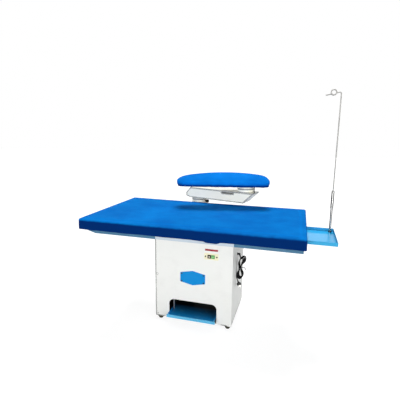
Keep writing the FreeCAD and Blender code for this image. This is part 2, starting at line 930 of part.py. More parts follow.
all_screws = [screw(spot, "-cab_front") for spot in FRONT_SPOTS]
all_screws += [screw(spot, "cab_back", -1) for spot in FRONT_SPOTS]
all_screws += [screw(spot, "-switch_face") for spot in SWITCH_SPOTS]
all_screws += [screw(spot, "-cab_front - hex_thick") for spot in HEX_SPOTS]
sub_part("panel_screws", group(all_screws))

# Pedal with its shaft and brackets

half_pedal = "pedal_width / 2"
pedal_front = "-cab_front - pedal_out"
pivot = ("pivot_back", "pivot_height")
tread = block((f"-{half_pedal}", half_pedal), (pedal_front, "pivot_back"), ("pedal_under", "pedal_top"))
pedal_walls = [
    block(across, (pedal_front, "pivot_back - bracket_depth"), ("pedal_top", "pedal_top + pedal_side"))
    for across in (
        (f"-{half_pedal}", f"pedal_thick - {half_pedal}"),
        (f"{half_pedal} - pedal_thick", half_pedal),
    )
]
lip_body = new_body("pedal_lip")
lip_sketch = sketch_on(lip_body, "YZ_Plane", "-lip_width / 2")
rectangle(lip_sketch, (pedal_front, f"{pedal_front} + lip_thick"), ("lip_low", "lip_high"))
pad(lip_body, lip_sketch, "lip_width")
round_edges(lip_body, lambda edge: abs(edge.tangentAt(edge.FirstParameter).x) > 1 - NEAR, "lip_round")
knuckle = bar("knuckle_radius", "x", "-knuckle_half", "knuckle_half", pivot)
knuckle_bore = bar("pivot_radius + running", "x", "-knuckle_half", "knuckle_half", pivot)
bracket_low = "knuckle_half + bracket_gap"
bracket_high = f"{bracket_low} + bracket_thick"
bracket_room = [
    block(across, ("pivot_back - bracket_depth / 2 - bracket_gap", "pivot_back + knuckle_radius"),
          ("pedal_under", "pedal_top"))
    for across in ((f"-{half_pedal}", "-knuckle_half"), ("knuckle_half", half_pedal))
]
pedal_solid = fuse([tread, lip_body, knuckle] + pedal_walls)
sub_part("pedal", cut(pedal_solid, [knuckle_bore] + bracket_room))
sub_part("pedal_shaft", bar("pivot_radius", "x", f"-({bracket_high})", bracket_high, pivot))


def pedal_bracket(side):
    across = (bracket_low, bracket_high) if side > 0 else (f"-({bracket_high})", f"-({bracket_low})")
    along = ("pivot_back - bracket_depth / 2", "pivot_back + bracket_depth / 2")
    cheek = block(across, along, ("floor_top", "pivot_height + knuckle_radius"))
    return cut(cheek, [bar("pivot_radius", "x", *across, pivot)])


sub_part("pedal_brackets", group([pedal_bracket(side) for side in (-1, 1)]))


def coil_spring(radius, wire, low, high, turns, centre):
    """An open coil of half-turn biarcs between two heights, standing on its end turns."""
    rise = (high - low - 2 * wire) / (turns * 2)
    slope = rise / (math.pi * radius)
    edges = []
    for half in range(turns * 2):
        spots = []
        ways = []
        for step in (half, half + 1):
            side = 1 if step % 2 == 0 else -1
            spots.append(centre + Vector(side * radius, 0, low + wire + step * rise))
            ways.append(unit(Vector(0, side, slope)))
        edges += biarc(spots[0], ways[0], spots[1], ways[1])
    start = centre + Vector(radius, 0, low + wire)
    return swept(edges, start, unit(Vector(0, 1, slope)), wire)


spring_centre = Vector(0, -value("spring_ahead"), 0)
spring_solid, spring_path, spring_share = coil_spring(
    value("spring_radius"),
    value("spring_wire"),
    value("floor_top + spring_seat"),
    value("pedal_under - spring_seat"),
    SPRING_TURNS, spring_centre,
)
shaped("pedal_spring", spring_solid)

# Pull rod, its guide, the damper and the suction duct

rod_centre = ("-rod_left", "-rod_ahead")
sub_part("pull_rod", bar("rod_radius", "z", "pedal_top + rod_gap", "damper_height + rod_over", rod_centre))
guide_y = ("-rod_ahead - guide_depth / 2", "guide_depth / 2 - rod_ahead")
guide_z = ("guide_centre - guide_height / 2", "guide_centre + guide_height / 2")
guide = block(("-half_inside", "guide_depth / 2 - rod_left"), guide_y, guide_z)
sub_part("rod_guide", cut(guide, [bar("rod_radius + running", "z", *guide_z, rod_centre)]))

damper_centre = ("-damper_ahead", "damper_height")
crank_right = "-rod_left - rod_radius - crank_gap"
crank_x = (f"{crank_right} - crank_thick", crank_right)
crank_z = ("damper_height - crank_width / 2", "damper_height + crank_width / 2")
crank_arm = block(crank_x, ("-rod_ahead", "-damper_ahead"), crank_z)
crank_ends = [
    bar("crank_width / 2", "x", *crank_x, (depth, "damper_height"))
    for depth in ("-rod_ahead", "-damper_ahead")
]
damper_shaft = bar("damper_radius", "x", crank_x[0], "half_duct + crank_thick", damper_centre)
flap = block(
    (f"{duct_inside_x[0]} + flap_clear", f"{duct_inside_x[1]} - flap_clear"),
    (f"{duct_inside_y[0]} + flap_clear", f"{duct_inside_y[1]} - flap_clear"),
    ("damper_height - flap_thick / 2", "damper_height + flap_thick / 2"),
)
sub_part("damper", fuse([damper_shaft, flap, crank_arm] + crank_ends))

duct_outside = block(("-half_duct", "half_duct"), ("-duct_ahead", "duct_back"), ("duct_base", "cover_base"))
duct_hollow = block(duct_inside_x, duct_inside_y, ("duct_base + duct_wall", "cover_base"))
duct_inlet = bar("inlet_radius", "y", "duct_back - duct_wall", "duct_back", ("0", "fan_height"))
damper_bores = [
    bar("damper_radius + running", "x", low, high, damper_centre)
    for low, high in (("-half_duct", "duct_wall - half_duct"), ("half_duct - duct_wall", "half_duct"))
]
sub_part("suction_duct", cut(duct_outside, [duct_hollow, duct_inlet] + damper_bores))

# Fan and motor

fan_centre = ("0", "fan_height")
scroll = bar("fan_radius", "y", "duct_back", "fan_back", fan_centre)
outlet_x = ("fan_radius - outlet_width", "fan_radius")
outlet = block(outlet_x, ("duct_back", "fan_back"), ("fan_height - outlet_drop", "fan_height"))
hollow_y = ("duct_back + fan_wall", "fan_back - fan_wall")
scroll_hollow = bar("fan_radius - fan_wall", "y", *hollow_y, fan_centre)
outlet_hollow = block(
    (f"{outlet_x[0]} + fan_wall", f"{outlet_x[1]} - fan_wall"),
    hollow_y,
    ("fan_height - outlet_drop", "fan_height"),
)
fan_inlet = bar("inlet_radius", "y", "duct_back", "duct_back + fan_wall", fan_centre)
shaft_hole = bar("shaft_radius + shaft_clear", "y", "fan_back - fan_wall", "fan_back", fan_centre)
fan_hollow = fuse([scroll_hollow, outlet_hollow, fan_inlet, shaft_hole])
sub_part("fan_housing", cut(fuse([scroll, outlet]), [fan_hollow]))

wheel = turned("wheel_disc", [
    ("shaft_radius", "wheel_depth - hub_length"), ("hub_radius", "wheel_depth - hub_length"),
    ("hub_radius", "wheel_depth - wheel_disc"), ("wheel_radius", "wheel_depth - wheel_disc"),
    ("wheel_radius", "wheel_depth"), ("shaft_radius", "wheel_depth"),
])
rim = sketch_on(wheel, "XY_Plane")
circle(rim, "wheel_radius", ("0", "0"))
circle(rim, "blade_root", ("0", "0"))
wheel_blade = sketch_on(wheel, "XY_Plane")
blade_span = ("blade_root + blade_inset", "wheel_radius - blade_inset")
rectangle(wheel_blade, blade_span, ("-blade_thick / 2", "blade_thick / 2"))
blade = pad(wheel, wheel_blade, "wheel_depth")
doc.recompute()
blades = wheel.newObject("PartDesign::PolarPattern", "blades")
blades.Originals = [blade]
blades.Axis = (wheel_blade, ["N_Axis"])
blades.Angle = 360
blades.Occurrences = BLADES
wheel.Tip = blades
pad(wheel, rim, "wheel_disc")
wheel.Placement = Placement(Vector(0, value("wheel_front"), value("fan_height")), TURN_TO["y"])
sub_part("impeller", wheel)
shaft_front = "wheel_back - hub_length"
shaft_back = "fan_back + motor_bore - shaft_end"
sub_part("motor_shaft", bar("shaft_radius", "y", shaft_front, shaft_back, fan_centre))
motor_body = turned("motor_body", [
    ("shaft_radius + running", "0"), ("motor_neck", "0"), ("motor_radius", "motor_neck / 2"),
    ("motor_radius", "motor_length - motor_neck / 2"), ("motor_neck", "motor_length"),
    ("0", "motor_length"), ("0", "motor_bore"), ("shaft_radius + running", "motor_bore"),
])
motor_body.Placement = Placement(Vector(0, value("fan_back"), value("fan_height")), TURN_TO["y"])
sub_part("motor", motor_body)

saddle_start = "fan_back + motor_length / 2 - saddle_depth / 2"
saddle_y = (saddle_start, f"{saddle_start} + saddle_depth")
saddle_x = ("-saddle_width / 2", "saddle_width / 2")
saddle = block(saddle_x, saddle_y, ("shelf_height", "fan_height - motor_radius / 2"))
motor_seat = bar("motor_radius", "y", *saddle_y, fan_centre)
shelf_y = ("fan_back + shelf_thick", inside_y[1])
shelf = block(inside_x, shelf_y, ("shelf_height - shelf_thick", "shelf_height"))
sub_part("motor_shelf", cut(fuse([shelf, saddle]), [motor_seat]))

# Post behind the board

elbow_y = ("cab_back", "post_back + post_radius + elbow_over")
elbow_outside = block(elbow_x, elbow_y, elbow_z)
elbow_hollow = block(elbow_inside_x, ("cab_back", f"{elbow_y[1]} - elbow_wall"), elbow_inside_z)
post_centre = ("-post_left", "post_back")
port_radius = "post_radius - post_wall - bush_wall"
elbow_port = bar(port_radius, "z", "post_base - elbow_wall", "post_base", post_centre)
sub_part("post_elbow", cut(elbow_outside, [elbow_hollow, elbow_port]))

clamp_half = "post_radius + clamp_margin"
clamp_block = block(
    (f"-post_left - ({clamp_half})", f"{clamp_half} - post_left"),
    ("rail_face", f"post_back + {clamp_half}"), ("clamp_top - clamp_thick", "clamp_top"),
)
clamp_bore = bar("post_radius", "z", "clamp_top - clamp_thick", "clamp_top", post_centre)
sub_part("post_clamp", cut(clamp_block, [clamp_bore]))

post = ring("post", "post_radius - post_wall", "post_radius", "post_base", "post_top")
stud_bore = doc.addObject("Part::Cylinder", "stud_bore")
stud_bore.setExpression("Radius", formula("knob_stud + running"))
stud_bore.setExpression("Height", formula("post_radius * 2"))
stud_bore.Placement = Placement(
    Vector(0, 0, value("knob_height")),
    Rotation(Vector(0, 0, 1), value("knob_angle")).multiply(TURN_TO["x"]),
)
sub_part("post_tube", place(cut(post, [stud_bore]), *post_centre))
bush_outside = "post_radius - post_wall"
bush = ring("bush", "spigot_radius + running", bush_outside, "post_top - bush_height", "post_top")
sub_part("post_bush", place(cut(bush, [stud_bore]), *post_centre))
knob_start = "spigot_radius + knob_gap"
knob_inner = "post_radius + knob_stand"
knob_outer = "post_radius + knob_stand + knob_length"
knob = turned("knob_body", [
    ("0", knob_start), ("knob_stud", knob_start), ("knob_stud", knob_inner),
    ("knob_radius - knob_round", knob_inner), ("knob_radius", f"{knob_inner} + knob_round"),
    ("knob_radius", f"{knob_outer} - knob_round"),
    ("knob_radius - knob_round", knob_outer),
    ("0", knob_outer),
])
knob.Placement = Placement(
    Vector(value("-post_left"), value("post_back"), value("knob_height")),
    Rotation(Vector(0, 0, 1), value("knob_angle")).multiply(TURN_TO["x"]),
)
sub_part("lock_knob", knob)

# Swinging arm, drawn along X from the post's axis


def arm_outline(inset):
    """Side view of the arm's sheet box, drawn in by an inset on every side."""
    return [
        (f"{inset} - arm_tail", f"arm_base + tail_lift + {inset} / 2"),
        (f"tail_run - arm_tail + {inset} / 2", f"arm_base + {inset}"),
        (f"arm_tip - {inset} / 2", f"arm_base + {inset}"),
        (f"arm_tip + arm_tip_run - 2 * {inset}", f"arm_top - {inset}"),
        (f"tail_slope_run - arm_tail + {inset} / 2", f"arm_top - {inset}"),
        (f"{inset} - arm_tail", f"arm_top - tail_slope_rise - {inset} / 2"),
    ]


def arm_box(name, inset, width):
    body = new_body(name)
    sketch = sketch_on(body, "XZ_Plane")
    polygon(sketch, arm_outline(inset))
    pad(body, sketch, width, midplane=True)
    return body


arm_outside = arm_box("arm_outside", "0", "arm_width")
arm_inside = arm_box("arm_inside", "arm_wall", "arm_width - 2 * arm_wall")
spigot_bore = "spigot_radius - spigot_wall"
arm_bottom_hole = bar(spigot_bore, "z", "arm_base", "arm_base + arm_wall", ("0", "0"))
turn_bore = "turn_radius + running"
arm_top_hole = bar(turn_bore, "z", "arm_top - arm_wall", "arm_top", ("arm_reach", "0"))
slot_top = "arm_top - arm_slot_drop"
arm_slot = block(
    ("arm_slot_start", "arm_slot_end"), ("-arm_width / 2", "arm_wall - arm_width / 2"),
    (f"{slot_top} - arm_slot", slot_top),
)
arm_shell = cut(arm_outside, [arm_inside, arm_bottom_hole, arm_top_hole, arm_slot])
sub_part("arm_duct", place(arm_shell, *post_centre, "arm_angle"))
spigot = turned("spigot", [
    (spigot_bore, "post_top - spigot_length"), ("spigot_radius", "post_top - spigot_length"),
    ("spigot_radius", "post_top"),
    ("post_radius", "post_top"),
    ("post_radius", "arm_base"),
    (spigot_bore, "arm_base"),
])
sub_part("arm_spigot", place(spigot, *post_centre))

neck_x = "arm_reach * cos(arm_angle * 1 deg) - post_left"
neck_y = "arm_reach * sin(arm_angle * 1 deg) + post_back"
neck = ring("neck", turn_bore, "neck_radius", "arm_top", "neck_top")
sub_part("arm_neck", place(neck, neck_x, neck_y))
stop_x = "arm_reach + neck_radius + stop_gap"
stop_pin = bar("stop_radius", "z", "arm_top", "stop_top", (stop_x, "0"))
sub_part("swivel_stop", place(group([stop_pin]), *post_centre, "arm_angle"))

# Sleeve buck, drawn along X from its swivel axis


def buck_section(along, inset):
    """One upright slice of the buck: a flat base, two edges that roll under and one arc over the crown."""
    length = value("buck_length")
    nose = value("buck_nose")
    heel = value("buck_heel")
    end = 1.0
    if along < nose:
        end = math.sqrt(1 - ((nose - along) / nose) ** 2)
    if along > length - heel:
        end = math.sqrt(1 - ((along - length + heel) / heel) ** 2)
    share = along / length
    full_half = value("buck_narrow") + (value("buck_wide") - value("buck_narrow")) * share ** BUCK_TAPER
    half = end * full_half - inset
    foot = half * (1 - value("buck_tuck") / full_half)
    from_end = min(along, length - along) - inset
    rolled = max(0, 1 - from_end / value("buck_under"))
    edge = value("buck_edge")
    under = edge - (edge + value("buck_sink")) * math.sqrt(1 - rolled ** 2)
    fall = value("buck_fall") * ((along - value("buck_crown_at")) / value("buck_crown_at")) ** 2
    full_dome = (value("buck_crown") - fall - edge) * end
    crown = edge + max(half * BUCK_LEAST_DOME, full_dome - inset)
    across = along - length + value("buck_heel_reach")
    base = value("buck_base")
    bulge_out = foot + (half - foot) * BULGE_OUT
    bulge_up = under + (edge - under) * BULGE_UP

    def spot(y, z):
        return Vector(across, y, base + z)

    lines = [
        Part.LineSegment(spot(-foot, under), spot(foot, under)),
        Part.Arc(spot(foot, under), spot(bulge_out, bulge_up), spot(half, edge)),
        Part.Arc(spot(half, edge), spot(0, crown), spot(-half, edge)),
        Part.Arc(spot(-half, edge), spot(-bulge_out, bulge_up), spot(-foot, under)),
    ]
    return Part.Wire([line.toShape() for line in lines])


def buck_form(inset):
    """The crowned buck as a loft, cut flat at its base; slices close up towards both round ends."""
    length = value("buck_length")
    end_gap = BUCK_END_GAP + inset
    slices = []
    for step in range(BUCK_STATIONS):
        share = (1 - math.cos(math.pi * step / (BUCK_STATIONS - 1))) / 2
        slices.append(buck_section(end_gap + (length - 2 * end_gap) * share, inset))
    return Part.makeLoft(slices, True).common(above_base)


def buck_piece(label, shape):
    piece = shaped(label, shape)
    return place(piece, neck_x, neck_y, "buck_angle")


half_room = value("buck_length")
room_corner = Vector(-half_room, -half_room, value("buck_base"))
above_base = Part.makeBox(2 * half_room, 2 * half_room, half_room, room_corner)
below_plate = Part.makeBox(2 * half_room, 2 * half_room, value("buck_plate"), room_corner)
buck_outside = buck_form(0)
buck_inside = buck_form(value("cover_thick"))
port_base = Vector(0, 0, value("buck_base"))
buck_port = Part.makeCylinder(value("turn_radius - spigot_wall"), value("buck_plate"), port_base)
buck_piece("buck_plate", buck_inside.common(below_plate).cut(buck_port))
buck_piece("buck_pad", buck_inside.cut(below_plate))
buck_piece("buck_cover", buck_outside.cut(buck_inside))
turntable = turned("turntable", [
    ("turn_radius - spigot_wall", "neck_top - turn_depth"), ("turn_radius", "neck_top - turn_depth"),
    ("turn_radius", "neck_top"), ("neck_radius", "neck_top"), ("neck_radius", "buck_base"),
    ("turn_radius - spigot_wall", "buck_base"),
])
sub_part("buck_turntable", place(turntable, neck_x, neck_y))
bolt_heads = [
    bar("bolt_radius", "z", "buck_base - bolt_head", "buck_base", (str(along), f"{side} * bolt_spread"))
    for along in BUCK_BOLTS_AT for side in (-1, 1)
]
sub_part("buck_bolts", place(group(bolt_heads), neck_x, neck_y, "buck_angle"))

# Iron tray and hanger pole

tray_y = ("-tray_front", "tray_back")
tray_y_inside = ("tray_thick - tray_front", "tray_back - tray_thick")
tray_under = "tray_floor - tray_thick"
tray_outside = block(("tray_start", "tray_right"), tray_y, (tray_under, "tray_floor + tray_wall"))
tray_x_inside = ("tray_start", "tray_right - tray_thick")
tray_hollow = block(tray_x_inside, tray_y_inside, ("tray_floor", "tray_floor + tray_wall"))
tray_tongue = block(("rail_right", "tray_start"), tray_y, (tray_under, "tray_floor"))
flange_mid = "rail_base + rail_height / 2"
tray_flange = block(
    ("rail_right", "rail_right + tray_thick"), tray_y,
    (f"{flange_mid} - tray_flange / 2", f"{flange_mid} + tray_flange / 2"),
)
pole_centre = ("pole_right", "pole_back")
raised_seat = bar("seat_radius", "z", "tray_floor", "pole_seat", pole_centre)
tray_box = cut(tray_outside, [tray_hollow])
sub_part("iron_tray", fuse([tray_box, tray_tongue, tray_flange, raised_seat]))

tube_bore = "hanger_radius + running"
pole_tube = bar("tube_radius", "z", "pole_seat", "tube_top", pole_centre)
sub_part("pole_tube", pole_tube)
nut = ring("nut", "tube_radius", "nut_radius", "pole_seat", "pole_seat + nut_height")
sub_part("pole_nut", place(nut, *pole_centre))
seat_depth = "sleeve_top - hanger_depth"
sleeve = turned("sleeve", [
    ("tube_radius", "tube_top - sleeve_lap"), ("sleeve_radius", "tube_top - sleeve_lap"),
    ("sleeve_radius", "sleeve_top - sleeve_slope"),
    ("hanger_radius + sleeve_lip", "sleeve_top"),
    (tube_bore, "sleeve_top"),
    (tube_bore, seat_depth), ("0", seat_depth), ("0", "tube_top"), ("tube_radius", "tube_top"),
])
sub_part("pole_sleeve", place(sleeve, *pole_centre))


def hanger_rod():
    """A straight wire whose top bends left into a falling arm with one open round loop in it."""
    bend = value("hanger_bend")
    loop = value("loop_radius")
    reach = value("loop_reach")
    fall = math.radians(value("hanger_fall"))
    up = Vector(0, 0, 1)
    along = Vector(-math.cos(fall), 0, -math.sin(fall))
    above = Vector(-math.sin(fall), 0, math.cos(fall))
    shift = Vector(0, value("loop_lead"), 0)
    low = up * value(f"{seat_depth} + hanger_seat")
    corner = up * value("hanger_top - hanger_radius")
    centre = corner + along * reach + above * value("loop_lift")
    places = [(corner + along * (reach - LOOP_ROOM * loop), along)]
    for angle in LOOP_TURN:
        turn = math.radians(angle)
        share = (angle - LOOP_TURN[0]) / (LOOP_TURN[-1] - LOOP_TURN[0])
        spot = centre - along * (loop * math.cos(turn)) + above * (loop * math.sin(turn)) + shift * share
        places.append((spot, along * -math.sin(turn) - above * math.cos(turn)))
    places.append((corner + along * (reach + LOOP_ROOM * loop) + shift, along))
    bend_start = corner - up * bend
    bend_end = corner + along * bend
    edges = [Part.LineSegment(low, bend_start).toShape(), arc_from(bend_start, up, bend_end)]
    edges.append(Part.LineSegment(bend_end, places[0][0]).toShape())
    for (start, leaving), (end, arriving) in zip(places, places[1:]):
        edges += biarc(start, leaving, end, arriving)
    tip = corner + along * value("hanger_reach") + shift
    edges.append(Part.LineSegment(places[-1][0], tip).toShape())
    return swept(edges, low, up, value("hanger_radius"))


hanger_solid, hanger_path, hanger_share = hanger_rod()
place(shaped("hanger_rod", hanger_solid), *pole_centre)

# Mains cord: gland, lead, hank, tie, tail and plug

gland_centre = ("gland_back", "gland_height")
gland_stem = bar("gland_nose", "x", "half_inside", "half_cab", gland_centre)
gland_ring = bar("gland_radius", "x", "half_cab", "half_cab + gland_flange", gland_centre)
gland_stub = bar("gland_root", "x", "half_cab + gland_flange", "half_cab + gland_out", gland_centre)
gland_bend = Vector(value("half_cab + gland_out"), value("gland_back"), value("gland_height"))
gland_way = unit(Vector(value("gland_slope"), 0, -1))
gland_ball = doc.addObject("Part::Sphere", "gland_ball")
gland_ball.setExpression("Radius", formula("gland_root"))
gland_ball.Placement = Placement(gland_bend, Rotation())
relief = turned("relief", [
    ("0", "0"), ("gland_root", "0"), ("gland_tip", "gland_length"), ("0", "gland_length"),
])
relief.Placement = Placement(gland_bend, Rotation(Vector(0, 0, 1), gland_way))
sub_part("cable_gland", fuse([gland_stem, gland_ring, gland_stub, gland_ball, relief]))

cord = value("cord_radius")
layer = value("hank_layer")
lean = value("hank_lean")
waist_height = value("hank_waist")
gland_end = gland_bend + gland_way * value("gland_length")
hank_middle = value("half_cab + hank_stand")


def hank_spot(across, up, depth):
    """A place in the hank, whose upper half leans away from the cabinet."""
    return Vector(hank_middle + across + lean * max(up, 0), gland_end.y - depth, waist_height + up)


def hank_turn(turn):
    """The eight places of one turn with the way that the cord runs through each, top left first."""
    rise = value(f"hank_rise - {turn} * hank_rise_step")
    drop = value(f"hank_drop + {turn} * hank_drop_step")
    left = value("hank_left")
    right = value(f"hank_right - {turn} * hank_right_step")
    low_left = value(f"hank_low_left + {turn} * hank_low_left_step")
    low_right = value(f"hank_low_right - {turn} * hank_low_right_step")
    pinch = value("hank_pinch")
    down = Vector(0, 0, -1)
    across_right = Vector(1, 0, 0)
    leaning = unit(Vector(lean, 0, 1))
    corners = [
        (-left, LOBE_SHARE * rise, leaning * -1), (-pinch, 0, down),
        (-low_left, -LOBE_SHARE * drop, down), ((low_right - low_left) / 2, -drop, across_right),
        (low_right, -LOBE_SHARE * drop, down * -1), (pinch, 0, down * -1),
        (right, LOBE_SHARE * rise, leaning), ((right - left) / 2, rise, across_right * -1),
    ]
    places = []
    for number, (across, up, way) in enumerate(corners):
        depth = layer * (turn + (1 if number > LAST_LEVEL_PLACE else 0))
        places.append((hank_spot(across, up, depth), way))
    return places


def cord_hank():
    """One unbroken tube through every turn, with a straight end above and below."""
    places = []
    for turn in range(HANK_TURNS):
        places += hank_turn(turn)
    places += hank_turn(HANK_TURNS)[:3]
    first, way_in = places[0]
    last, way_out = places[-1]
    begin = first - way_in * (2 * cord)
    finish = last + way_out * (2 * cord)
    edges = [Part.LineSegment(begin, first).toShape()]
    for (start, leaving), (end, arriving) in zip(places, places[1:]):
        edges += biarc(start, leaving, end, arriving)
    edges.append(Part.LineSegment(last, finish).toShape())
    return edges, begin, way_in, finish, way_out


def least_gap(edges):
    """The least clear distance between stretches of the tube that are not next to each other."""
    spots = []
    travelled = 0
    for edge in edges:
        count = max(2, int(edge.Length / SAMPLE_STEP))
        for step in range(count):
            along = edge.Length * step / count
            spots.append((travelled + along, edge.valueAt(edge.getParameterByLength(along))))
        travelled += edge.Length
    least = travelled
    for number, (reach, spot) in enumerate(spots):
        for other_reach, other in spots[number + 1:]:
            if other_reach - reach > 10 * cord and (spot - other).Length < least:
                least = (spot - other).Length
                where = spot, other
    return least - 2 * cord, where


hank_edges, hank_begin, hank_way_in, hank_finish, hank_way_out = cord_hank()
hank_gap, gap_spots = least_gap(hank_edges)
print(f"cord_hank: least gap to itself {hank_gap:.2f} mm, between {gap_spots}")
hank_solid, hank_path, hank_share = swept(hank_edges, hank_begin, hank_way_in, cord)
shaped("cord_hank", hank_solid)

bend_end = hank_begin - hank_way_in * value("cord_drop")
lead_edges = biarc(gland_end, gland_way, bend_end, hank_way_in)
lead_edges.append(Part.LineSegment(bend_end, hank_begin).toShape())
lead_solid, lead_path, lead_share = swept(lead_edges, gland_end, gland_way, cord)
shaped("cord_lead", lead_solid)

TAIL_STEPS = [(0, 0, 0), (0, 0, -8), (4, -2, -21), (11, -6, -36)]
tail_points = [hank_finish + Vector(*step) for step in TAIL_STEPS]
tail_edges, tail_radii = route_edges(tail_points)
tail_way = unit(tail_points[1] - tail_points[0])
tail_solid, tail_path, tail_share = swept(tail_edges, tail_points[0], tail_way, cord)
shaped("cord_tail", tail_solid)

plug_top = tail_points[-1]
plug_way = unit(tail_points[-1] - tail_points[-2])
plug = turned("plug_body", [
    ("0", "0"),
    ("plug_neck", "0"),
    ("plug_neck", "plug_height / 4"),
    ("plug_radius", "plug_height / 2"),
    ("plug_radius", "plug_height"), ("0", "plug_height"),
])
plug_end = "plug_height + plug_pin_length"
plug_pins = [
    bar("plug_pin", "z", "plug_height", plug_end, (f"{side} * plug_pin_pitch / 2", "0"))
    for side in (-1, 1)
]
power_plug = fuse([plug] + plug_pins)
power_plug.Placement = Placement(plug_top, Rotation(Vector(0, 0, 1), plug_way))
sub_part("power_plug", power_plug)

tie_half_x = value("hank_pinch + cord_radius + tie_clear")
tie_front = gland_end.y - layer * HANK_TURNS - value("cord_radius + tie_clear")
tie_back = gland_end.y + value("cord_radius + tie_clear")
tie_wall = value("tie_wall")
tie_height = value("tie_height")
tie_corner = Vector(hank_middle - tie_half_x, tie_front, waist_height - tie_height / 2)
tie_inside = Part.makeBox(2 * tie_half_x, tie_back - tie_front, tie_height, tie_corner)
wall_step = Vector(tie_wall, tie_wall, 0)
tie_wide = 2 * (tie_half_x + tie_wall)
tie_deep = tie_back - tie_front + 2 * tie_wall
tie_outside = Part.makeBox(tie_wide, tie_deep, tie_height, tie_corner - wall_step)
tail_corner = Vector(hank_middle + tie_half_x + tie_wall, tie_front, waist_height)
tie_tail = Part.makeBox(value("tie_tail"), tie_wall, tie_wall * 2, tail_corner)
shaped("cord_tie", tie_outside.cut(tie_inside).fuse(tie_tail))

# Checks and files

doc.recompute()
faults = [item.Name for item in doc.Objects if "Invalid" in item.State or "Error" in item.State]
for piece in SUB_PARTS:
    if piece.Shape.isNull() or not piece.Shape.isValid() or not piece.Shape.Solids:
        faults.append(piece.Label)
if hank_gap < LEAST_CORD_GAP:
    faults.append("cord_hank lies too close to itself")
if faults:
    raise RuntimeError(f"not built: {faults}")

for name, share in (
    ("cord_lead", lead_share), ("cord_hank", hank_share), ("cord_tail", tail_share),
    ("pedal_spring", spring_share), ("hanger_rod", hanger_share),
):
    print(f"{name}: volume over section times length {share:.4f}")
lead_radii = [edge.Curve.Radius for edge in lead_edges if hasattr(edge.Curve, "Radius")]
print("cord radii:", [round(radius, 1) for radius in lead_radii + tail_radii])
print(f"cord length {lead_path.Length + hank_path.Length + tail_path.Length:.0f} mm")

os.makedirs("parts", exist_ok=True)
for piece in SUB_PARTS:
    piece.Shape.exportStep(f"parts/{piece.Label}.step")
print(len(SUB_PARTS), "sub-parts written")
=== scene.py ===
import math

import bmesh
import bpy
from mathutils import Matrix, Vector, noise


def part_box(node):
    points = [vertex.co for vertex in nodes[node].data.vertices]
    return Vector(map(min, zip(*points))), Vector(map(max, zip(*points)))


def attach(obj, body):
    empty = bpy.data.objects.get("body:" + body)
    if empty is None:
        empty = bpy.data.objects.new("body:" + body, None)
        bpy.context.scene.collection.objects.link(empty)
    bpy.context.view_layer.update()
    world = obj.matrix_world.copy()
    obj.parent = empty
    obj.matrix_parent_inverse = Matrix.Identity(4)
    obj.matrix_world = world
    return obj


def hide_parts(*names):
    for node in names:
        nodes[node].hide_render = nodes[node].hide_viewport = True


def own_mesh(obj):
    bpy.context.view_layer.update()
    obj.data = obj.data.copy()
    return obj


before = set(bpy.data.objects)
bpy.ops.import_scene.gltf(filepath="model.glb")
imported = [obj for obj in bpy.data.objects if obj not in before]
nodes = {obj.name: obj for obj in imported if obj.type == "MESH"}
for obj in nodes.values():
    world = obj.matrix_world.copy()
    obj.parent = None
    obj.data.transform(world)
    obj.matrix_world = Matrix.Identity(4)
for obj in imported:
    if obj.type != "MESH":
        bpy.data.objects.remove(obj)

# Vacuum ironing table, dressed around its solids. Lengths are in metres unless a name says mm.
# X runs to the right along the board, Y to the back and Z up, from the floor under the board's centre.

MM = 0.001
scene = bpy.context.scene
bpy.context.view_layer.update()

# Camera, fitted to a frame of 400 by 400

FRAME_PIXELS = 400
FOCAL_PIXELS = 344.38
SENSOR_MM = 36.0
CAMERA_SPOT = Vector((675.03, -2393.03, 1367.85)) * MM
CAMERA_YAW = math.radians(-15.974)
CAMERA_PITCH = math.radians(10.991)
CAMERA_ROLL = math.radians(0.637)


def aim_camera():
    """Stand the camera where the photograph was taken."""
    level = math.cos(CAMERA_PITCH)
    forward = Vector((math.sin(CAMERA_YAW) * level, math.cos(CAMERA_YAW) * level, -math.sin(CAMERA_PITCH)))
    right = Vector((math.cos(CAMERA_YAW), -math.sin(CAMERA_YAW), 0))
    up = right.cross(forward)
    across = right * math.cos(CAMERA_ROLL) + up * math.sin(CAMERA_ROLL)
    above = up * math.cos(CAMERA_ROLL) - right * math.sin(CAMERA_ROLL)
    lens = bpy.data.cameras.new("photo_lens")
    lens.sensor_width = SENSOR_MM
    lens.lens = SENSOR_MM * FOCAL_PIXELS / FRAME_PIXELS
    camera = bpy.data.objects.new("photo_camera", lens)
    turn = Matrix((across, above, -forward)).transposed()
    camera.matrix_world = Matrix.Translation(CAMERA_SPOT) @ turn.to_4x4()
    scene.collection.objects.link(camera)
    scene.camera = camera


aim_camera()

# Mains cord: one spline from the gland through the tied hank to the plug, route in millimetres

CORD_RADIUS = 3.6
GLAND_END = Vector((308.2, -29, 493.8))
HANK_MIDDLE = 311
HANK_WAIST = 415
HANK_LAYER = 8.6
HANK_LEAN = 0.3
HANK_TURNS = 4
HANK_PINCH = 4.4
LOBE_SHARE = 0.62
LAST_LEVEL_PLACE = 5
LAST_TURN_POINTS = 6
# Measures of the hank's loops: each one's size in the first turn and its change from turn to turn
LOOP_RISE = (88, -4)
LOOP_DROP = (76, 2)
UPPER_LEFT = (21, 0)
UPPER_RIGHT = (20, -6)
LOWER_LEFT = (10, 2.5)
LOWER_RIGHT = (22, -2)
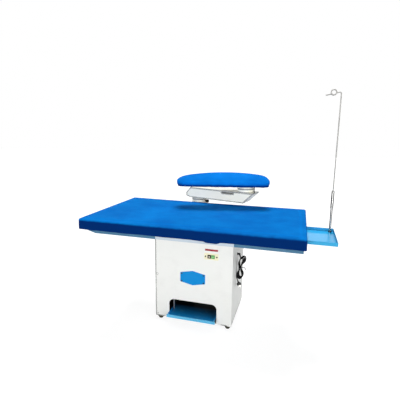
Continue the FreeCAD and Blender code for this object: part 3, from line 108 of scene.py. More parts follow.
# Half of the straight run at each place in a loop
UPPER_RUN = 12
WAIST_RUN = 14
LOWER_RUN = 11
END_RUN = 9
LEAD_POINTS = [(308.2, -29, 493.8), (311, -29, 487.4)]
TAIL_POINTS = [(291, -63.4, 347.7), (295, -65.4, 334.7), (302, -69.4, 319.7)]
TIE_RADIUS = 1.5
TIE_STEPS = 40
TIE_WRAPS = 2
TIE_SQUARENESS = 0.62
TIE_CLIMB = 6
TIE_TWISTS = 4
TIE_END = 38
TIE_BOW = 16
TIE_SAG = 6
TIE_AHEAD = 2
TIE_FRONT = 0.8
STRAND_SHARE = 0.8


def hank_turn(turn):
    """Two points for each of the eight places in one turn, a little before it and a little after it."""
    down = Vector((0, 0, -1))
    across_right = Vector((1, 0, 0))
    leaning = Vector((HANK_LEAN, 0, 1)).normalized()
    rise, drop, left, right, low_left, low_right = [
        first + step * turn
        for first, step in (LOOP_RISE, LOOP_DROP, UPPER_LEFT, UPPER_RIGHT, LOWER_LEFT, LOWER_RIGHT)
    ]
    places = [
        (-left, LOBE_SHARE * rise, -leaning, UPPER_RUN),
        (-HANK_PINCH, 0, down, WAIST_RUN),
        (-low_left, -LOBE_SHARE * drop, down, LOWER_RUN),
        ((low_right - low_left) / 2, -drop, across_right, END_RUN),
        (low_right, -LOBE_SHARE * drop, -down, LOWER_RUN),
        (HANK_PINCH, 0, -down, WAIST_RUN),
        (right, LOBE_SHARE * rise, leaning, UPPER_RUN),
        ((right - left) / 2, rise, -across_right, END_RUN),
    ]
    points = []
    for number, (across, up, way, reach) in enumerate(places):
        depth = HANK_LAYER * (turn + (1 if number > LAST_LEVEL_PLACE else 0))
        lean = HANK_LEAN * max(up, 0)
        spot = Vector((HANK_MIDDLE + across + lean, GLAND_END.y - depth, HANK_WAIST + up))
        points += [spot - way * reach, spot + way * reach]
    return points


def spline_piece(name, points, radius, cyclic=False):
    """A round cord along one smooth spline; points and radius are in metres."""
    line = bpy.data.curves.new(name, "CURVE")
    line.dimensions = "3D"
    line.bevel_depth = radius
    line.bevel_resolution = 4
    line.resolution_u = 6
    line.use_fill_caps = not cyclic
    spline = line.splines.new("NURBS")
    spline.points.add(len(points) - 1)
    for place, point in zip(spline.points, points):
        place.co = (*point, 1)
    spline.order_u = 3
    spline.use_endpoint_u = not cyclic
    spline.use_cyclic_u = cyclic
    piece = bpy.data.objects.new(name, line)
    scene.collection.objects.link(piece)
    return piece


def mains_cord():
    """The cord: lead, whole turns of the hank, part of a last turn, and tail."""
    points = [Vector(point) for point in LEAD_POINTS]
    for turn in range(HANK_TURNS):
        points += hank_turn(turn)
    points += hank_turn(HANK_TURNS)[:LAST_TURN_POINTS]
    points += [Vector(point) for point in TAIL_POINTS]
    return spline_piece("mains_cord", [point * MM for point in points], CORD_RADIUS * MM)


def twist_tie():
    """A coated wire tie, twice round the hank's waist, its ends twisted together in a bow to the right."""
    middle = Vector((HANK_MIDDLE, GLAND_END.y - HANK_LAYER * HANK_TURNS / 2, HANK_WAIST)) * MM
    half_x = (HANK_PINCH + CORD_RADIUS + TIE_RADIUS) * MM
    half_y = (HANK_LAYER * HANK_TURNS / 2 + CORD_RADIUS + TIE_RADIUS) * MM
    points = []
    for step in range(TIE_STEPS * TIE_WRAPS + 1):
        angle = 2 * math.pi * step / TIE_STEPS
        x = math.copysign(abs(math.cos(angle)) ** TIE_SQUARENESS, math.cos(angle)) * half_x
        y = math.copysign(abs(math.sin(angle)) ** TIE_SQUARENESS, math.sin(angle)) * half_y
        rise = (step / (TIE_STEPS * TIE_WRAPS) - 0.5) * TIE_CLIMB * MM
        points.append(middle + Vector((x, y, rise)))
    wrap = spline_piece("cord_twist_tie", points, TIE_RADIUS * MM)
    start = middle + Vector((half_x, -half_y * TIE_FRONT, 0))
    for strand in (0, math.pi):
        spline = wrap.data.splines.new("NURBS")
        spline.points.add(TIE_STEPS)
        for step, place in enumerate(spline.points):
            share = step / TIE_STEPS
            angle = strand + TIE_TWISTS * 2 * math.pi * share
            bow = math.sin(share * math.pi) * TIE_BOW
            out = Vector((share * TIE_END, -share * TIE_AHEAD, bow - share * TIE_SAG))
            turn = Vector((0, math.cos(angle), math.sin(angle))) * TIE_RADIUS * STRAND_SHARE
            place.co = (*(start + (out + turn) * MM), 1)
        spline.order_u = 3
        spline.use_endpoint_u = True
    return wrap


cord = mains_cord()
tie = twist_tie()

# Finishes


def linear(code):
    """An sRGB hex colour as the linear colour that shaders take."""
    shares = [int(code[place:place + 2], 16) / 255 for place in (0, 2, 4)]
    levels = []
    for share in shares:
        levels.append(share / 12.92 if share <= 0.04045 else ((share + 0.055) / 1.055) ** 2.4)
    return (*levels, 1)


def add(tree, kind, sockets=None, **settings):
    """Add one node with its settings, and give each named socket a value or a link."""
    made = tree.nodes.new(f"ShaderNode{kind}")
    for name, setting in settings.items():
        setattr(made, name, setting)
    for socket, given in (sockets or {}).items():
        if isinstance(given, bpy.types.NodeSocket):
            tree.links.new(given, made.inputs[socket])
        else:
            made.inputs[socket].default_value = given
    return made


def start_finish(name):
    """An empty material, its tree and the place on the piece in metres."""
    finish = bpy.data.materials.new(name)
    finish.use_nodes = True
    finish.node_tree.nodes.clear()
    spot = add(finish.node_tree, "TexCoord").outputs["Object"]
    return finish, finish.node_tree, spot


def end_finish(tree, sockets):
    """Close the tree with one shader that has the given sockets."""
    shader = add(tree, "BsdfPrincipled", sockets)
    add(tree, "OutputMaterial", {"Surface": shader.outputs[0]})


def within(tree, spot, low, high):
    """A mask that is 1 inside an upright box, which is given by two corners."""
    middle = add(tree, "VectorMath", {0: spot, 1: (low + high) / 2}, operation="SUBTRACT")
    size = add(tree, "VectorMath", {0: middle.outputs[0]}, operation="ABSOLUTE")
    spare = add(tree, "VectorMath", {0: (high - low) / 2, 1: size.outputs[0]}, operation="SUBTRACT")
    sides = add(tree, "SeparateXYZ", {0: spare.outputs[0]}).outputs
    least = add(tree, "Math", {0: sides[0], 1: sides[1]}, operation="MINIMUM")
    least = add(tree, "Math", {0: least.outputs[0], 1: sides[2]}, operation="MINIMUM")
    return add(tree, "Math", {0: least.outputs[0], 1: 0.0}, operation="GREATER_THAN").outputs[0]


def blended(tree, share, first, second):
    """One colour that turns into another as the share goes from 0 to 1."""
    return add(tree, "Mix", {0: share, 6: first, 7: second}, data_type="RGBA").outputs[2]


def powder_coat(name, main, worn, roughness=0.34, peel_mm=2.5, gloss=0.5, edge=None, unshaded_boxes=(), patch=None):
    """Baked powder paint: soft gloss, orange-peel dimples, faint handling marks, and painted shade along
    edges.
    No edge shade is painted in the unshaded boxes, where a sheet is folded without a seam, and round
    fittings. A patch, two corners of a box and a colour, is painted otherwise, as in the painted shade inside
    a cabinet."""
    finish, tree, spot = start_finish(name)
    marks = add(tree, "TexNoise", {
        "Vector": spot, "Scale": 1 / (90 * MM), "Detail": 5.0, "Roughness": 0.62,
    })
    marked = add(tree, "MapRange", {0: marks.outputs[0], 1: 0.5, 2: 0.8, 3: 0.0, 4: 0.55})
    colour = blended(tree, marked.outputs[0], linear(main), linear(worn))
    if edge:
        # Painted shade: a dark line where the surface bends round an edge, standing in for the shade in the
        # gaps along edges
        rounded = add(tree, "Bevel", {"Radius": EDGE_SHADE_REACH}, samples=16).outputs[0]
        flat = add(tree, "NewGeometry").outputs["True Normal"]
        alike = add(tree, "VectorMath", {0: rounded, 1: flat}, operation="DOT_PRODUCT").outputs["Value"]
        painted_shade = add(tree, "MapRange", {0: alike, 1: 0.9995, 2: 0.975, 3: 0.0, 4: 0.8}).outputs[0]
        for low, high in unshaded_boxes:
            unshaded = within(tree, spot, low, high)
            painted_shade = add(tree, "Math", {0: painted_shade, 1: unshaded}, operation="SUBTRACT").outputs[0]
        colour = blended(tree, painted_shade, colour, linear(edge))
    if patch:
        low, high, other = patch
        colour = blended(tree, within(tree, spot, low, high), colour, linear(other))
    peel = add(tree, "TexNoise", {"Vector": spot, "Scale": 1 / (peel_mm * MM), "Detail": 1.0})
    bump = add(tree, "Bump", {"Height": peel.outputs[0], "Strength": 0.12, "Distance": 0.4 * MM})
    rough = add(tree, "MapRange", {
        0: marks.outputs[0], 1: 0.3, 2: 0.8, 3: roughness - 0.05, 4: roughness + 0.14,
    })
    end_finish(tree, {
        "Base Color": colour, "Roughness": rough.outputs[0], "Normal": bump.outputs[0],
        "IOR": 1.5, "Specular IOR Level": gloss,
    })
    return finish


def striped_coat(name, main, stripe, worn, painted_shade):
    """The pedal's paint: sky blue with rubbed diagonal ribs on the lip, scuffed where the foot goes, with
    painted shade that darkens it to near black further back and a painted band of light along the lip's
    front."""
    finish, tree, spot = start_finish(name)
    place = add(tree, "SeparateXYZ", {0: spot})
    slant = add(tree, "Math", {0: place.outputs[0], 1: place.outputs[2]}, operation="ADD")
    turn = add(tree, "Math", {0: slant.outputs[0], 1: 2 * math.pi / RIB_PITCH}, operation="MULTIPLY")
    wave = add(tree, "Math", {0: turn.outputs[0]}, operation="SINE")
    behind = add(tree, "Math", {0: place.outputs[1], 1: PEDAL_LIP}, operation="SUBTRACT").outputs[0]
    front = add(tree, "MapRange", {0: behind, 1: 4 * MM, 2: 2 * MM, 3: 0.0, 4: 0.5})
    rib = add(tree, "MapRange", {0: wave.outputs[0], 1: 0.2, 2: 0.8, 3: 0.0, 4: 1.0})
    striped = add(tree, "Math", {0: rib.outputs[0], 1: front.outputs[0]}, operation="MULTIPLY")
    scuffs = add(tree, "TexNoise", {
        "Vector": spot, "Scale": 1 / (30 * MM), "Detail": 6.0, "Roughness": 0.7,
    })
    scuffed = add(tree, "MapRange", {0: scuffs.outputs[0], 1: 0.52, 2: 0.75, 3: 0.0, 4: 0.6})
    coat = blended(tree, scuffed.outputs[0], linear(main), linear(worn))
    # Painted shade: the tread darkens to near black towards the back, where the cabinet shades it
    back = add(tree, "MapRange", {0: behind, 1: 20 * MM, 2: 185 * MM})
    shaded_tread = blended(tree, back.outputs[0], coat, linear(painted_shade))
    # Painted light: the lip's front is lighter, where light falls on it
    lip = add(tree, "MapRange", {0: behind, 1: 14 * MM, 2: 8 * MM})
    shaded_tread = blended(tree, lip.outputs[0], shaded_tread, linear(worn))
    colour = blended(tree, striped.outputs[0], shaded_tread, linear(stripe))
    rough = add(tree, "MapRange", {0: scuffs.outputs[0], 1: 0.3, 2: 0.8, 3: 0.3, 4: 0.55})
    bump = add(tree, "Bump", {"Height": striped.outputs[0], "Strength": 0.5, "Distance": 0.6 * MM})
    end_finish(tree, {
        "Base Color": colour, "Roughness": rough.outputs[0], "Normal": bump.outputs[0],
        "IOR": 1.5, "Specular IOR Level": 0.15,
    })
    return finish


def woven_polyester(name, top, faded, band, turn_low, turn_high):
    """Dyed polyester weave: bright on top and navy below a height that wavers, which is painted shade on the
    sides, dull, with faint fading.
    The real threads are 0.5 mm apart. They are drawn 4 mm apart, because finer ones would not show."""
    finish, tree, spot = start_finish(name)
    fading = add(tree, "TexNoise", {
        "Vector": spot, "Scale": 1 / (220 * MM), "Detail": 4.0, "Roughness": 0.55,
    })
    faded_share = add(tree, "MapRange", {0: fading.outputs[0], 1: 0.38, 2: 0.68, 3: 0.0, 4: 1.0})
    cloth = blended(tree, faded_share.outputs[0], linear(top), linear(faded))
    # Painted shade: the cloth turns navy below a wavering height, for the shade on the cover's sides and hem
    level = add(tree, "SeparateXYZ", {0: spot}).outputs[2]
    waver = add(tree, "TexNoise", {"Vector": spot, "Scale": 1 / (60 * MM), "Detail": 2.0})
    reach = SHADE_LINE_WAVER * (turn_high - turn_low)
    shift = add(tree, "MapRange", {0: waver.outputs[0], 1: 0.3, 2: 0.7, 3: -reach, 4: reach})
    wavering = add(tree, "Math", {0: level, 1: shift.outputs[0]}, operation="ADD")
    turned = {0: wavering.outputs[0], 1: turn_low, 2: turn_high}
    upper = add(tree, "MapRange", turned, interpolation_type="SMOOTHSTEP")
    shade_banded = blended(tree, upper.outputs[0], linear(band), cloth)
    bands = {"Vector": spot, "Scale": math.pi / 10 / THREAD_PITCH, "Distortion": 0.6, "Detail": 1.0}
    threads = 0.0
    for side in "XYZ":
        wave = add(tree, "TexWave", bands, wave_type="BANDS", bands_direction=side)
        threads = add(tree, "Math", {0: threads, 1: wave.outputs["Fac"]}, operation="ADD").outputs[0]
    shade = add(tree, "MapRange", {0: threads, 1: 0.4, 2: 2.4, 3: 0.9, 4: 1.05})
    shaded = {0: 1.0, 6: shade_banded, 7: shade.outputs[0]}
    woven = add(tree, "Mix", shaded, data_type="RGBA", blend_type="MULTIPLY")
    bump = add(tree, "Bump", {"Height": threads, "Strength": 0.25, "Distance": 0.35 * MM})
    end_finish(tree, {
        "Base Color": woven.outputs[2], "Roughness": 0.82, "Normal": bump.outputs[0], "IOR": 1.46,
        "Specular IOR Level": 0.02, "Sheen Weight": 0.02, "Sheen Roughness": 0.4,
        "Sheen Tint": linear("1A6CD8"),
    })
    return finish


def sheet_zinc(name, main, dark):
    """Hot-dip galvanised sheet: dull grey metal with crystals about 14 mm across."""
    finish, tree, spot = start_finish(name)
    crystals = add(tree, "TexVoronoi", {"Vector": spot, "Scale": 1 / (14 * MM)})
    grey = add(tree, "SeparateColor", {0: crystals.outputs["Color"]})
    colour = blended(tree, grey.outputs[0], linear(main), linear(dark))
    rough = add(tree, "MapRange", {0: grey.outputs[1], 1: 0.0, 2: 1.0, 3: 0.38, 4: 0.56})
    grain = add(tree, "TexNoise", {"Vector": spot, "Scale": 1 / (3 * MM), "Detail": 3.0})
    bump = add(tree, "Bump", {"Height": grain.outputs[0], "Strength": 0.1, "Distance": 0.2 * MM})
    end_finish(tree, {
        "Base Color": colour, "Metallic": 0.9, "Roughness": rough.outputs[0], "Normal": bump.outputs[0],
    })
    return finish


def drawn_metal(name, main, dark, roughness, grain_mm, stretch, metallic=1.0):
    """Drawn, turned or plated metal: long fine draw lines, cloudy handling marks, a few duller patches."""
    finish, tree, spot = start_finish(name)
    stretched = add(tree, "Mapping", {"Vector": spot, "Scale": stretch})
    lines = add(tree, "TexNoise", {
        "Vector": stretched.outputs[0], "Scale": 1 / (grain_mm * MM), "Detail": 3.0,
    })
    clouds = add(tree, "TexNoise", {"Vector": spot, "Scale": 1 / (45 * MM), "Detail": 4.0})
    dull = add(tree, "MapRange", {0: clouds.outputs[0], 1: 0.4, 2: 0.75, 3: 0.0, 4: 0.8})
    colour = blended(tree, dull.outputs[0], linear(main), linear(dark))
    rough = add(tree, "MapRange", {
        0: lines.outputs[0], 1: 0.3, 2: 0.7, 3: roughness * 0.75, 4: roughness * 1.35,
    })
    bump = add(tree, "Bump", {"Height": lines.outputs[0], "Strength": 0.08, "Distance": 0.1 * MM})
    end_finish(tree, {
        "Base Color": colour, "Metallic": metallic, "Roughness": rough.outputs[0], "Normal": bump.outputs[0],
    })
    return finish


def moulded(name, main, worn, roughness, grain_mm, grain_depth_mm=0.15, gloss=0.5, inset=None):
    """Moulded plastic or rubber: fine spark-eroded grain, patches a little different in tone from handling.
    An inset, two corners of a box and a colour, is a piece of another colour set into it."""
    finish, tree, spot = start_finish(name)
    grain = add(tree, "TexNoise", {"Vector": spot, "Scale": 1 / (grain_mm * MM), "Detail": 2.0})
    patches = add(tree, "TexNoise", {"Vector": spot, "Scale": 1 / (18 * MM), "Detail": 4.0})
    rubbed = add(tree, "MapRange", {0: patches.outputs[0], 1: 0.48, 2: 0.78, 3: 0.0, 4: 0.7})
    colour = blended(tree, rubbed.outputs[0], linear(main), linear(worn))
    if inset:
        low, high, other = inset
        colour = blended(tree, within(tree, spot, low, high), colour, linear(other))
    rough = add(tree, "MapRange", {
        0: patches.outputs[0], 1: 0.3, 2: 0.75, 3: roughness * 0.85, 4: roughness * 1.2,
    })
    bump = add(tree, "Bump", {
        "Height": grain.outputs[0], "Strength": 0.25, "Distance": grain_depth_mm * MM,
    })
    end_finish(tree, {
        "Base Color": colour, "Roughness": rough.outputs[0], "Normal": bump.outputs[0], "IOR": 1.49,
        "Specular IOR Level": gloss,
    })
    return finish


def tray_enamel(name, floor, worn, front_face_shade, shaded):
    """Glossy sky-blue enamel with iron scuffs on the floor, painted shade in a deeper blue on faces toward
    the front, and the darkest painted shade on faces toward the left, as on the end wall's inside."""
    finish, tree, spot = start_finish(name)
    scuffs = add(tree, "TexNoise", {
        "Vector": spot, "Scale": 1 / (40 * MM), "Detail": 6.0, "Roughness": 0.65,
    })
    scuffed = add(tree, "MapRange", {0: scuffs.outputs[0], 1: 0.5, 2: 0.75, 3: 0.0, 4: 0.4})
    colour = blended(tree, scuffed.outputs[0], linear(floor), linear(worn))
    facing = add(tree, "SeparateXYZ", {0: add(tree, "TexCoord").outputs["Normal"]}).outputs
    # Painted shade: faces toward the front and faces toward the left are coloured darker by the way they face
    front = add(tree, "MapRange", {0: facing[1], 1: -0.4, 2: -0.8})
    inward = add(tree, "MapRange", {0: facing[0], 1: -0.4, 2: -0.8})
    colour = blended(tree, front.outputs[0], colour, linear(front_face_shade))
    colour = blended(tree, inward.outputs[0], colour, linear(shaded))
    rough = add(tree, "MapRange", {0: scuffs.outputs[0], 1: 0.3, 2: 0.8, 3: 0.1, 4: 0.18})
    peel = add(tree, "TexNoise", {"Vector": spot, "Scale": 1 / (2.5 * MM), "Detail": 1.0})
    bump = add(tree, "Bump", {"Height": peel.outputs[0], "Strength": 0.1, "Distance": 0.3 * MM})
    end_finish(tree, {
        "Base Color": colour, "Roughness": rough.outputs[0], "Normal": bump.outputs[0],
        "IOR": 1.5, "Specular IOR Level": 0.2,
    })
    return finish


def mirror_tube(name, reflected_bright, dark):
    """Chromed upright tube: a painted reflection, bright to the front and back and dark on both sides as a
    mirrored dark room would be, and fine draw lines along it."""
    finish, tree, spot = start_finish(name)
    facing = add(tree, "SeparateXYZ", {0: add(tree, "TexCoord").outputs["Normal"]}).outputs
    # Painted reflection: the sides facing left and right are coloured dark
    side = add(tree, "Math", {0: facing[0]}, operation="ABSOLUTE")
    band = add(tree, "MapRange", {0: side.outputs[0], 1: 0.08, 2: 0.45}, interpolation_type="SMOOTHSTEP")
    colour = blended(tree, band.outputs[0], linear(reflected_bright), linear(dark))
    stretched = add(tree, "Mapping", {"Vector": spot, "Scale": ALONG_Z})
    lines = add(tree, "TexNoise", {"Vector": stretched.outputs[0], "Scale": 1 / (0.7 * MM), "Detail": 3.0})
    rough = add(tree, "MapRange", {0: lines.outputs[0], 1: 0.3, 2: 0.7, 3: 0.12, 4: 0.28})
    bump = add(tree, "Bump", {"Height": lines.outputs[0], "Strength": 0.06, "Distance": 0.1 * MM})
    end_finish(tree, {
        "Base Color": colour, "Metallic": 1.0, "Roughness": rough.outputs[0], "Normal": bump.outputs[0],
    })
    return finish


def screw_heads(name, plain, dark, boxes):
    """Painted screw heads, bare blackened steel inside the given boxes; a fine turned grain."""
    finish, tree, spot = start_finish(name)
    grain = add(tree, "TexNoise", {"Vector": spot, "Scale": 1 / (1.2 * MM), "Detail": 2.0})
    bare = 0.0
    for low, high in boxes:
        inside = within(tree, spot, low, high)
        bare = add(tree, "Math", {0: bare, 1: inside}, operation="MAXIMUM").outputs[0]
    colour = blended(tree, bare, linear(plain), linear(dark))
    rough = add(tree, "MapRange", {0: grain.outputs[0], 1: 0.3, 2: 0.7, 3: 0.3, 4: 0.5})
    bump = add(tree, "Bump", {"Height": grain.outputs[0], "Strength": 0.15, "Distance": 0.1 * MM})
    end_finish(tree, {
        "Base Color": colour, "Roughness": rough.outputs[0], "Normal": bump.outputs[0],
        "IOR": 1.5, "Specular IOR Level": 0.3,
    })
    return finish


def plug_and_pins(name):
    """Moulded black plug with nickel-plated pins, which start where the body's flat face is."""
    finish, tree, spot = start_finish(name)
    along = add(tree, "VectorMath", {0: spot, 1: PLUG_WAY}, operation="DOT_PRODUCT")
    pin = add(tree, "Math", {0: along.outputs["Value"], 1: PLUG_FACE}, operation="GREATER_THAN")
    grain = add(tree, "TexNoise", {"Vector": spot, "Scale": 1 / (1.5 * MM), "Detail": 2.0})
    shade = blended(tree, grain.outputs[0], linear("08080A"), linear("141416"))
    colour = blended(tree, pin.outputs[0], shade, linear("B9B7AE"))
    rough = add(tree, "MapRange", {0: pin.outputs[0], 1: 0.0, 2: 1.0, 3: 0.5, 4: 0.22})
    bump = add(tree, "Bump", {"Height": grain.outputs[0], "Strength": 0.2, "Distance": 0.15 * MM})
    end_finish(tree, {
        "Base Color": colour, "Metallic": pin.outputs[0], "Roughness": rough.outputs[0],
        "Normal": bump.outputs[0],
    })
    return finish


# How far from an edge the painted edge shade reaches
EDGE_SHADE_REACH = 14 * MM
SHADE_LINE_WAVER = 0.1
THREAD_PITCH = 4 * MM
RIB_PITCH = 22 * MM
PEDAL_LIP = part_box("pedal")[0].y

# Inside of the cabinet behind its outer skin: painted shade, near black

FRONT_LOW, FRONT_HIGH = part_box("front_panel")
SKIN = Vector((1, 1, -1)) * MM
CABINET_LOW = Vector((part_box("left_panel")[0].x, FRONT_LOW.y, 0)) + SKIN
CABINET_HIGH = Vector((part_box("right_panel")[1].x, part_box("back_panel")[1].y, FRONT_HIGH.z)) - SKIN
INTERIOR_SHADE = "0D0E10"

# Places on the cabinet without painted edge shade: the fold at its right front, around the switch, and around
# the pedal opening

FOLD = Vector((CABINET_HIGH.x, CABINET_LOW.y, 0))
FOLD_LOW = Vector((-30, -30, 20)) * MM
FOLD_HIGH = Vector((30, 30, 800)) * MM
SWITCH_LOW, SWITCH_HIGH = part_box("switch_plate")
SWITCH_ROOM = Vector((30, 30, 30)) * MM
OPENING_FRONT = Vector((0, FRONT_LOW.y - 10 * MM, 0))
OPENING_LOW = Vector((-210, 0, 0)) * MM
OPENING_HIGH = Vector((210, 30, 215)) * MM
UNSHADED_PLACES = [
    (FOLD + FOLD_LOW, FOLD + FOLD_HIGH),
    (SWITCH_LOW - SWITCH_ROOM, SWITCH_HIGH + SWITCH_ROOM),
    (OPENING_FRONT + OPENING_LOW, OPENING_FRONT + OPENING_HIGH),
]

# The front rail is pale where it runs before the cabinet

RAIL_LOW, RAIL_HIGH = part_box("front_rail")
RAIL_SKIN = Vector((0, 1, 1)) * MM
PALE_FROM = 90 * MM
PALE_TO = 40 * MM
PALE_LOW = Vector((CABINET_LOW.x + PALE_FROM, RAIL_LOW.y, RAIL_LOW.z)) - RAIL_SKIN
PALE_HIGH = Vector((CABINET_HIGH.x + PALE_TO, RAIL_HIGH.y, RAIL_HIGH.z)) + RAIL_SKIN

# The plug's pins start at its flat face, a set way along its axis from the cord's end

PIN_START = 30.2 * MM
PLUG_WAY = Vector((7, -4, -15)).normalized()
PLUG_TOP = Vector(TAIL_POINTS[-1]) * MM
PLUG_FACE = PLUG_TOP.dot(PLUG_WAY) + PIN_START

# How far a grain is drawn out along each axis

ALONG_Z = (1.0, 1.0, 0.04)
EVEN = (1.0, 1.0, 1.0)

# One finish for each material

# The edge colours below are painted shade along the edges
white_coat = powder_coat("powder_coated_steel_white", "FAF7E6", "EFECDB", edge="4A4E52")
cabinet_coat = powder_coat(
    "powder_coated_cabinet_white", "F4F5F2", "E9EAE7", gloss=0.03, edge="2A2E32", unshaded_boxes=UNSHADED_PLACES,
    # The patch is painted shade inside the cabinet
    patch=(CABINET_LOW, CABINET_HIGH, INTERIOR_SHADE),
)
rail_coat = powder_coat(
    "stoved_enamel_grey_blue", "407090", "608AA8", roughness=0.3, gloss=0.3,
    patch=(PALE_LOW, PALE_HIGH, "C4D0DC"),
)
plate_coat = powder_coat("powder_coated_plate_blue", "0E8CD8", "1C96DC", roughness=0.4, gloss=0.1)
tray_coat = tray_enamel("enamelled_tray_sky_blue", "30B0EA", "4CBEF0", "3CAADC", "0A4A80")
pedal_coat = striped_coat("enamelled_pedal_sky_blue", "1490DC", "40B0E4", "68C0EA", "020608")
# The navy of each cover below its given height is painted shade
BOARD_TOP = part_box("board_cover")[1].z
BUCK_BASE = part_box("buck_cover")[0].z
board_cloth = woven_polyester(
    "polyester_weave_board_blue", "0268BC", "0478CA", "022B6A",
    turn_low=BOARD_TOP - 14 * MM, turn_high=BOARD_TOP + 2 * MM,
)
buck_cloth = woven_polyester(
    "polyester_weave_buck_blue", "046CC8", "087AD8", "042E74",
    turn_low=BUCK_BASE + 5 * MM, turn_high=BUCK_BASE + 32 * MM,
)
zinc_sheet = sheet_zinc("galvanised_steel_sheet", "B4B8BB", "8F9498")
bright_steel = drawn_metal("bright_drawn_steel", "B9BCBE", "8A8D90", 0.32, 0.8, EVEN)
pole_chrome = mirror_tube("chromed_steel_tube", "E4E4E2", "161618")
rod_steel = drawn_metal("dull_drawn_rod", "94938F", "7C7B79", 0.5, 0.7, ALONG_Z, metallic=0.6)
SCREW_ROOM = Vector((6, 12, 6)) * MM
marked_plates = [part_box("hex_plate"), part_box("switch_plate")]
panel_screw = screw_heads(
    "painted_and_black_screw_heads", "F0F1EE", "1B1C1E",
    [(low - SCREW_ROOM, high + SCREW_ROOM) for low, high in marked_plates],
)
dark_screw = drawn_metal("black_oxide_steel", "3A3C3F", "232427", 0.4, 0.8, EVEN)
bush_bronze = drawn_metal("turned_bronze", "B08A4A", "8A6A36", 0.3, 0.7, ALONG_Z)
foot_zinc = drawn_metal("yellow_zinc_plate", "3A3828", "1E1D16", 0.42, 2.0, EVEN, metallic=0.85)
cast_grey = drawn_metal("cast_aluminium", "A7A9AA", "85878A", 0.5, 1.5, EVEN)
motor_coat = powder_coat("hammer_enamel_motor_grey", "6F7780", "868D95", roughness=0.42, peel_mm=6)
black_plastic = moulded("moulded_black_nylon", "0C0C0E", "1A1A1C", 0.5, 1.6, gloss=0.2)
cream_plastic = moulded("moulded_cream_urea", "F6F1D2", "EFE9C6", 0.38, 1.4)
LAMP_HALF = Vector((4.4, 30, 4.4)) * MM
start_middle, stop_middle = [
    (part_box(name)[0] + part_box(name)[1]) / 2 for name in ("start_button", "stop_button")
]
green_plastic = moulded(
    "moulded_green_acetal", "54A852", "78BC74", 0.35, 1.4,
    inset=(start_middle - LAMP_HALF, start_middle + LAMP_HALF, "A8DCA0"),
)
brown_plastic = moulded(
    "moulded_dark_brown_acetal", "1C0A04", "2C130B", 0.4, 1.4, gloss=0.1,
    inset=(stop_middle - LAMP_HALF, stop_middle + LAMP_HALF, "F0E8D8"),
)
cord_rubber = moulded("pvc_cord_sheath_black", "08080A", "121214", 0.6, 2.2, gloss=0.12)
red_film = moulded("printed_vinyl_film_red", "9C1C2A", "B03040", 0.28, 6.0, 0.05)
tie_plastic = moulded("grey_pvc_twist_tie", "4A4D50", "63666A", 0.55, 2.0, gloss=0.2)
plug_finish = plug_and_pins("moulded_plug_and_nickel_pins")


def dress(finish, *names):
    """Give the named solids one finish."""
    for name in names:
        piece = nodes[name]
        if not piece.material_slots:
            piece.data.materials.append(finish)
        for place in piece.material_slots:
            place.material = finish


dress(
    white_coat, "arm_duct", "arm_neck", "arm_spigot", "buck_turntable",
    "post_clamp", "post_elbow", "post_tube",
)
dress(cabinet_coat, "front_panel", "left_panel", "right_panel", "back_panel")
dress(rail_coat, "front_rail", "rear_rail", "cross_rails", "end_rails")
dress(plate_coat, "hex_plate")
dress(pedal_coat, "pedal")
dress(tray_coat, "iron_tray")
dress(
    zinc_sheet, "base_plate", "board_pan", "buck_plate", "damper", "fan_housing", "motor_shelf",
    "pedal_brackets", "perforated_plate", "rod_guide", "suction_duct", "top_deck",
)
dress(bright_steel, "motor_shaft", "pedal_shaft", "pull_rod")
dress(panel_screw, "panel_screws")
dress(dark_screw, "buck_bolts", "pole_nut", "swivel_stop")
dress(pole_chrome, "pole_sleeve", "pole_tube")
dress(rod_steel, "hanger_rod")
dress(bush_bronze, "post_bush")
dress(cast_grey, "impeller")
dress(foot_zinc, "levelling_feet")
dress(motor_coat, "motor")
dress(black_plastic, "cable_gland", "lock_knob", "switch_body")
dress(plug_finish, "power_plug")
dress(red_film, "red_strip")
dress(green_plastic, "start_button")
dress(brown_plastic, "stop_button")
dress(cream_plastic, "switch_plate")

cord.data.materials.append(cord_rubber)
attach(cord, "frame")
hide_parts("cord_lead", "cord_hank", "cord_tail")
tie.data.materials.append(tie_plastic)
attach(tie, "frame")
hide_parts("cord_tie")

# Return spring under the pedal

spring = bpy.data.objects.new("return_spring", nodes["pedal_spring"].data.copy())
scene.collection.objects.link(spring)
spring.data.materials.clear()
spring.data.materials.append(bright_steel)
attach(spring, "frame")
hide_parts("pedal_spring")
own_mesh(spring)

# Padded board: a cloth cover over the felt, blown up a little in a simulation and held at its hem

CORNER = 15 * MM
EDGE = 13 * MM
TUCK = 2.5 * MM
START_INSET = 1 * MM
TOP_STEP = 15 * MM
TOP_RISE = 1.5 * MM
SLOPE_WIDTH = 80 * MM
SLOPE_DROP = 6 * MM
SLOPE_END = 70 * MM
LEFT_FULL = 10 * MM
LEFT_RISE = 6 * MM
HEM_WAVE = 3.2 * MM
HEM_RIPPLE = 1.2 * MM
HEM_SAG = 10 * MM
SAG_AT = 185 * MM
SAG_HALF = 46 * MM
WAVE_START = 0.3
WAVES_PER_METRE = 9.0
RIPPLES_PER_METRE = 23.0
EDGE_STEPS = 8
SIDE_STEPS = 7
TUCK_STEPS = 2
BOARD_SWELL = 3 * MM
CLOTH_THICK = 1.6 * MM
SIM_FRAMES = 20
SIM_PRESSURE = 4.0


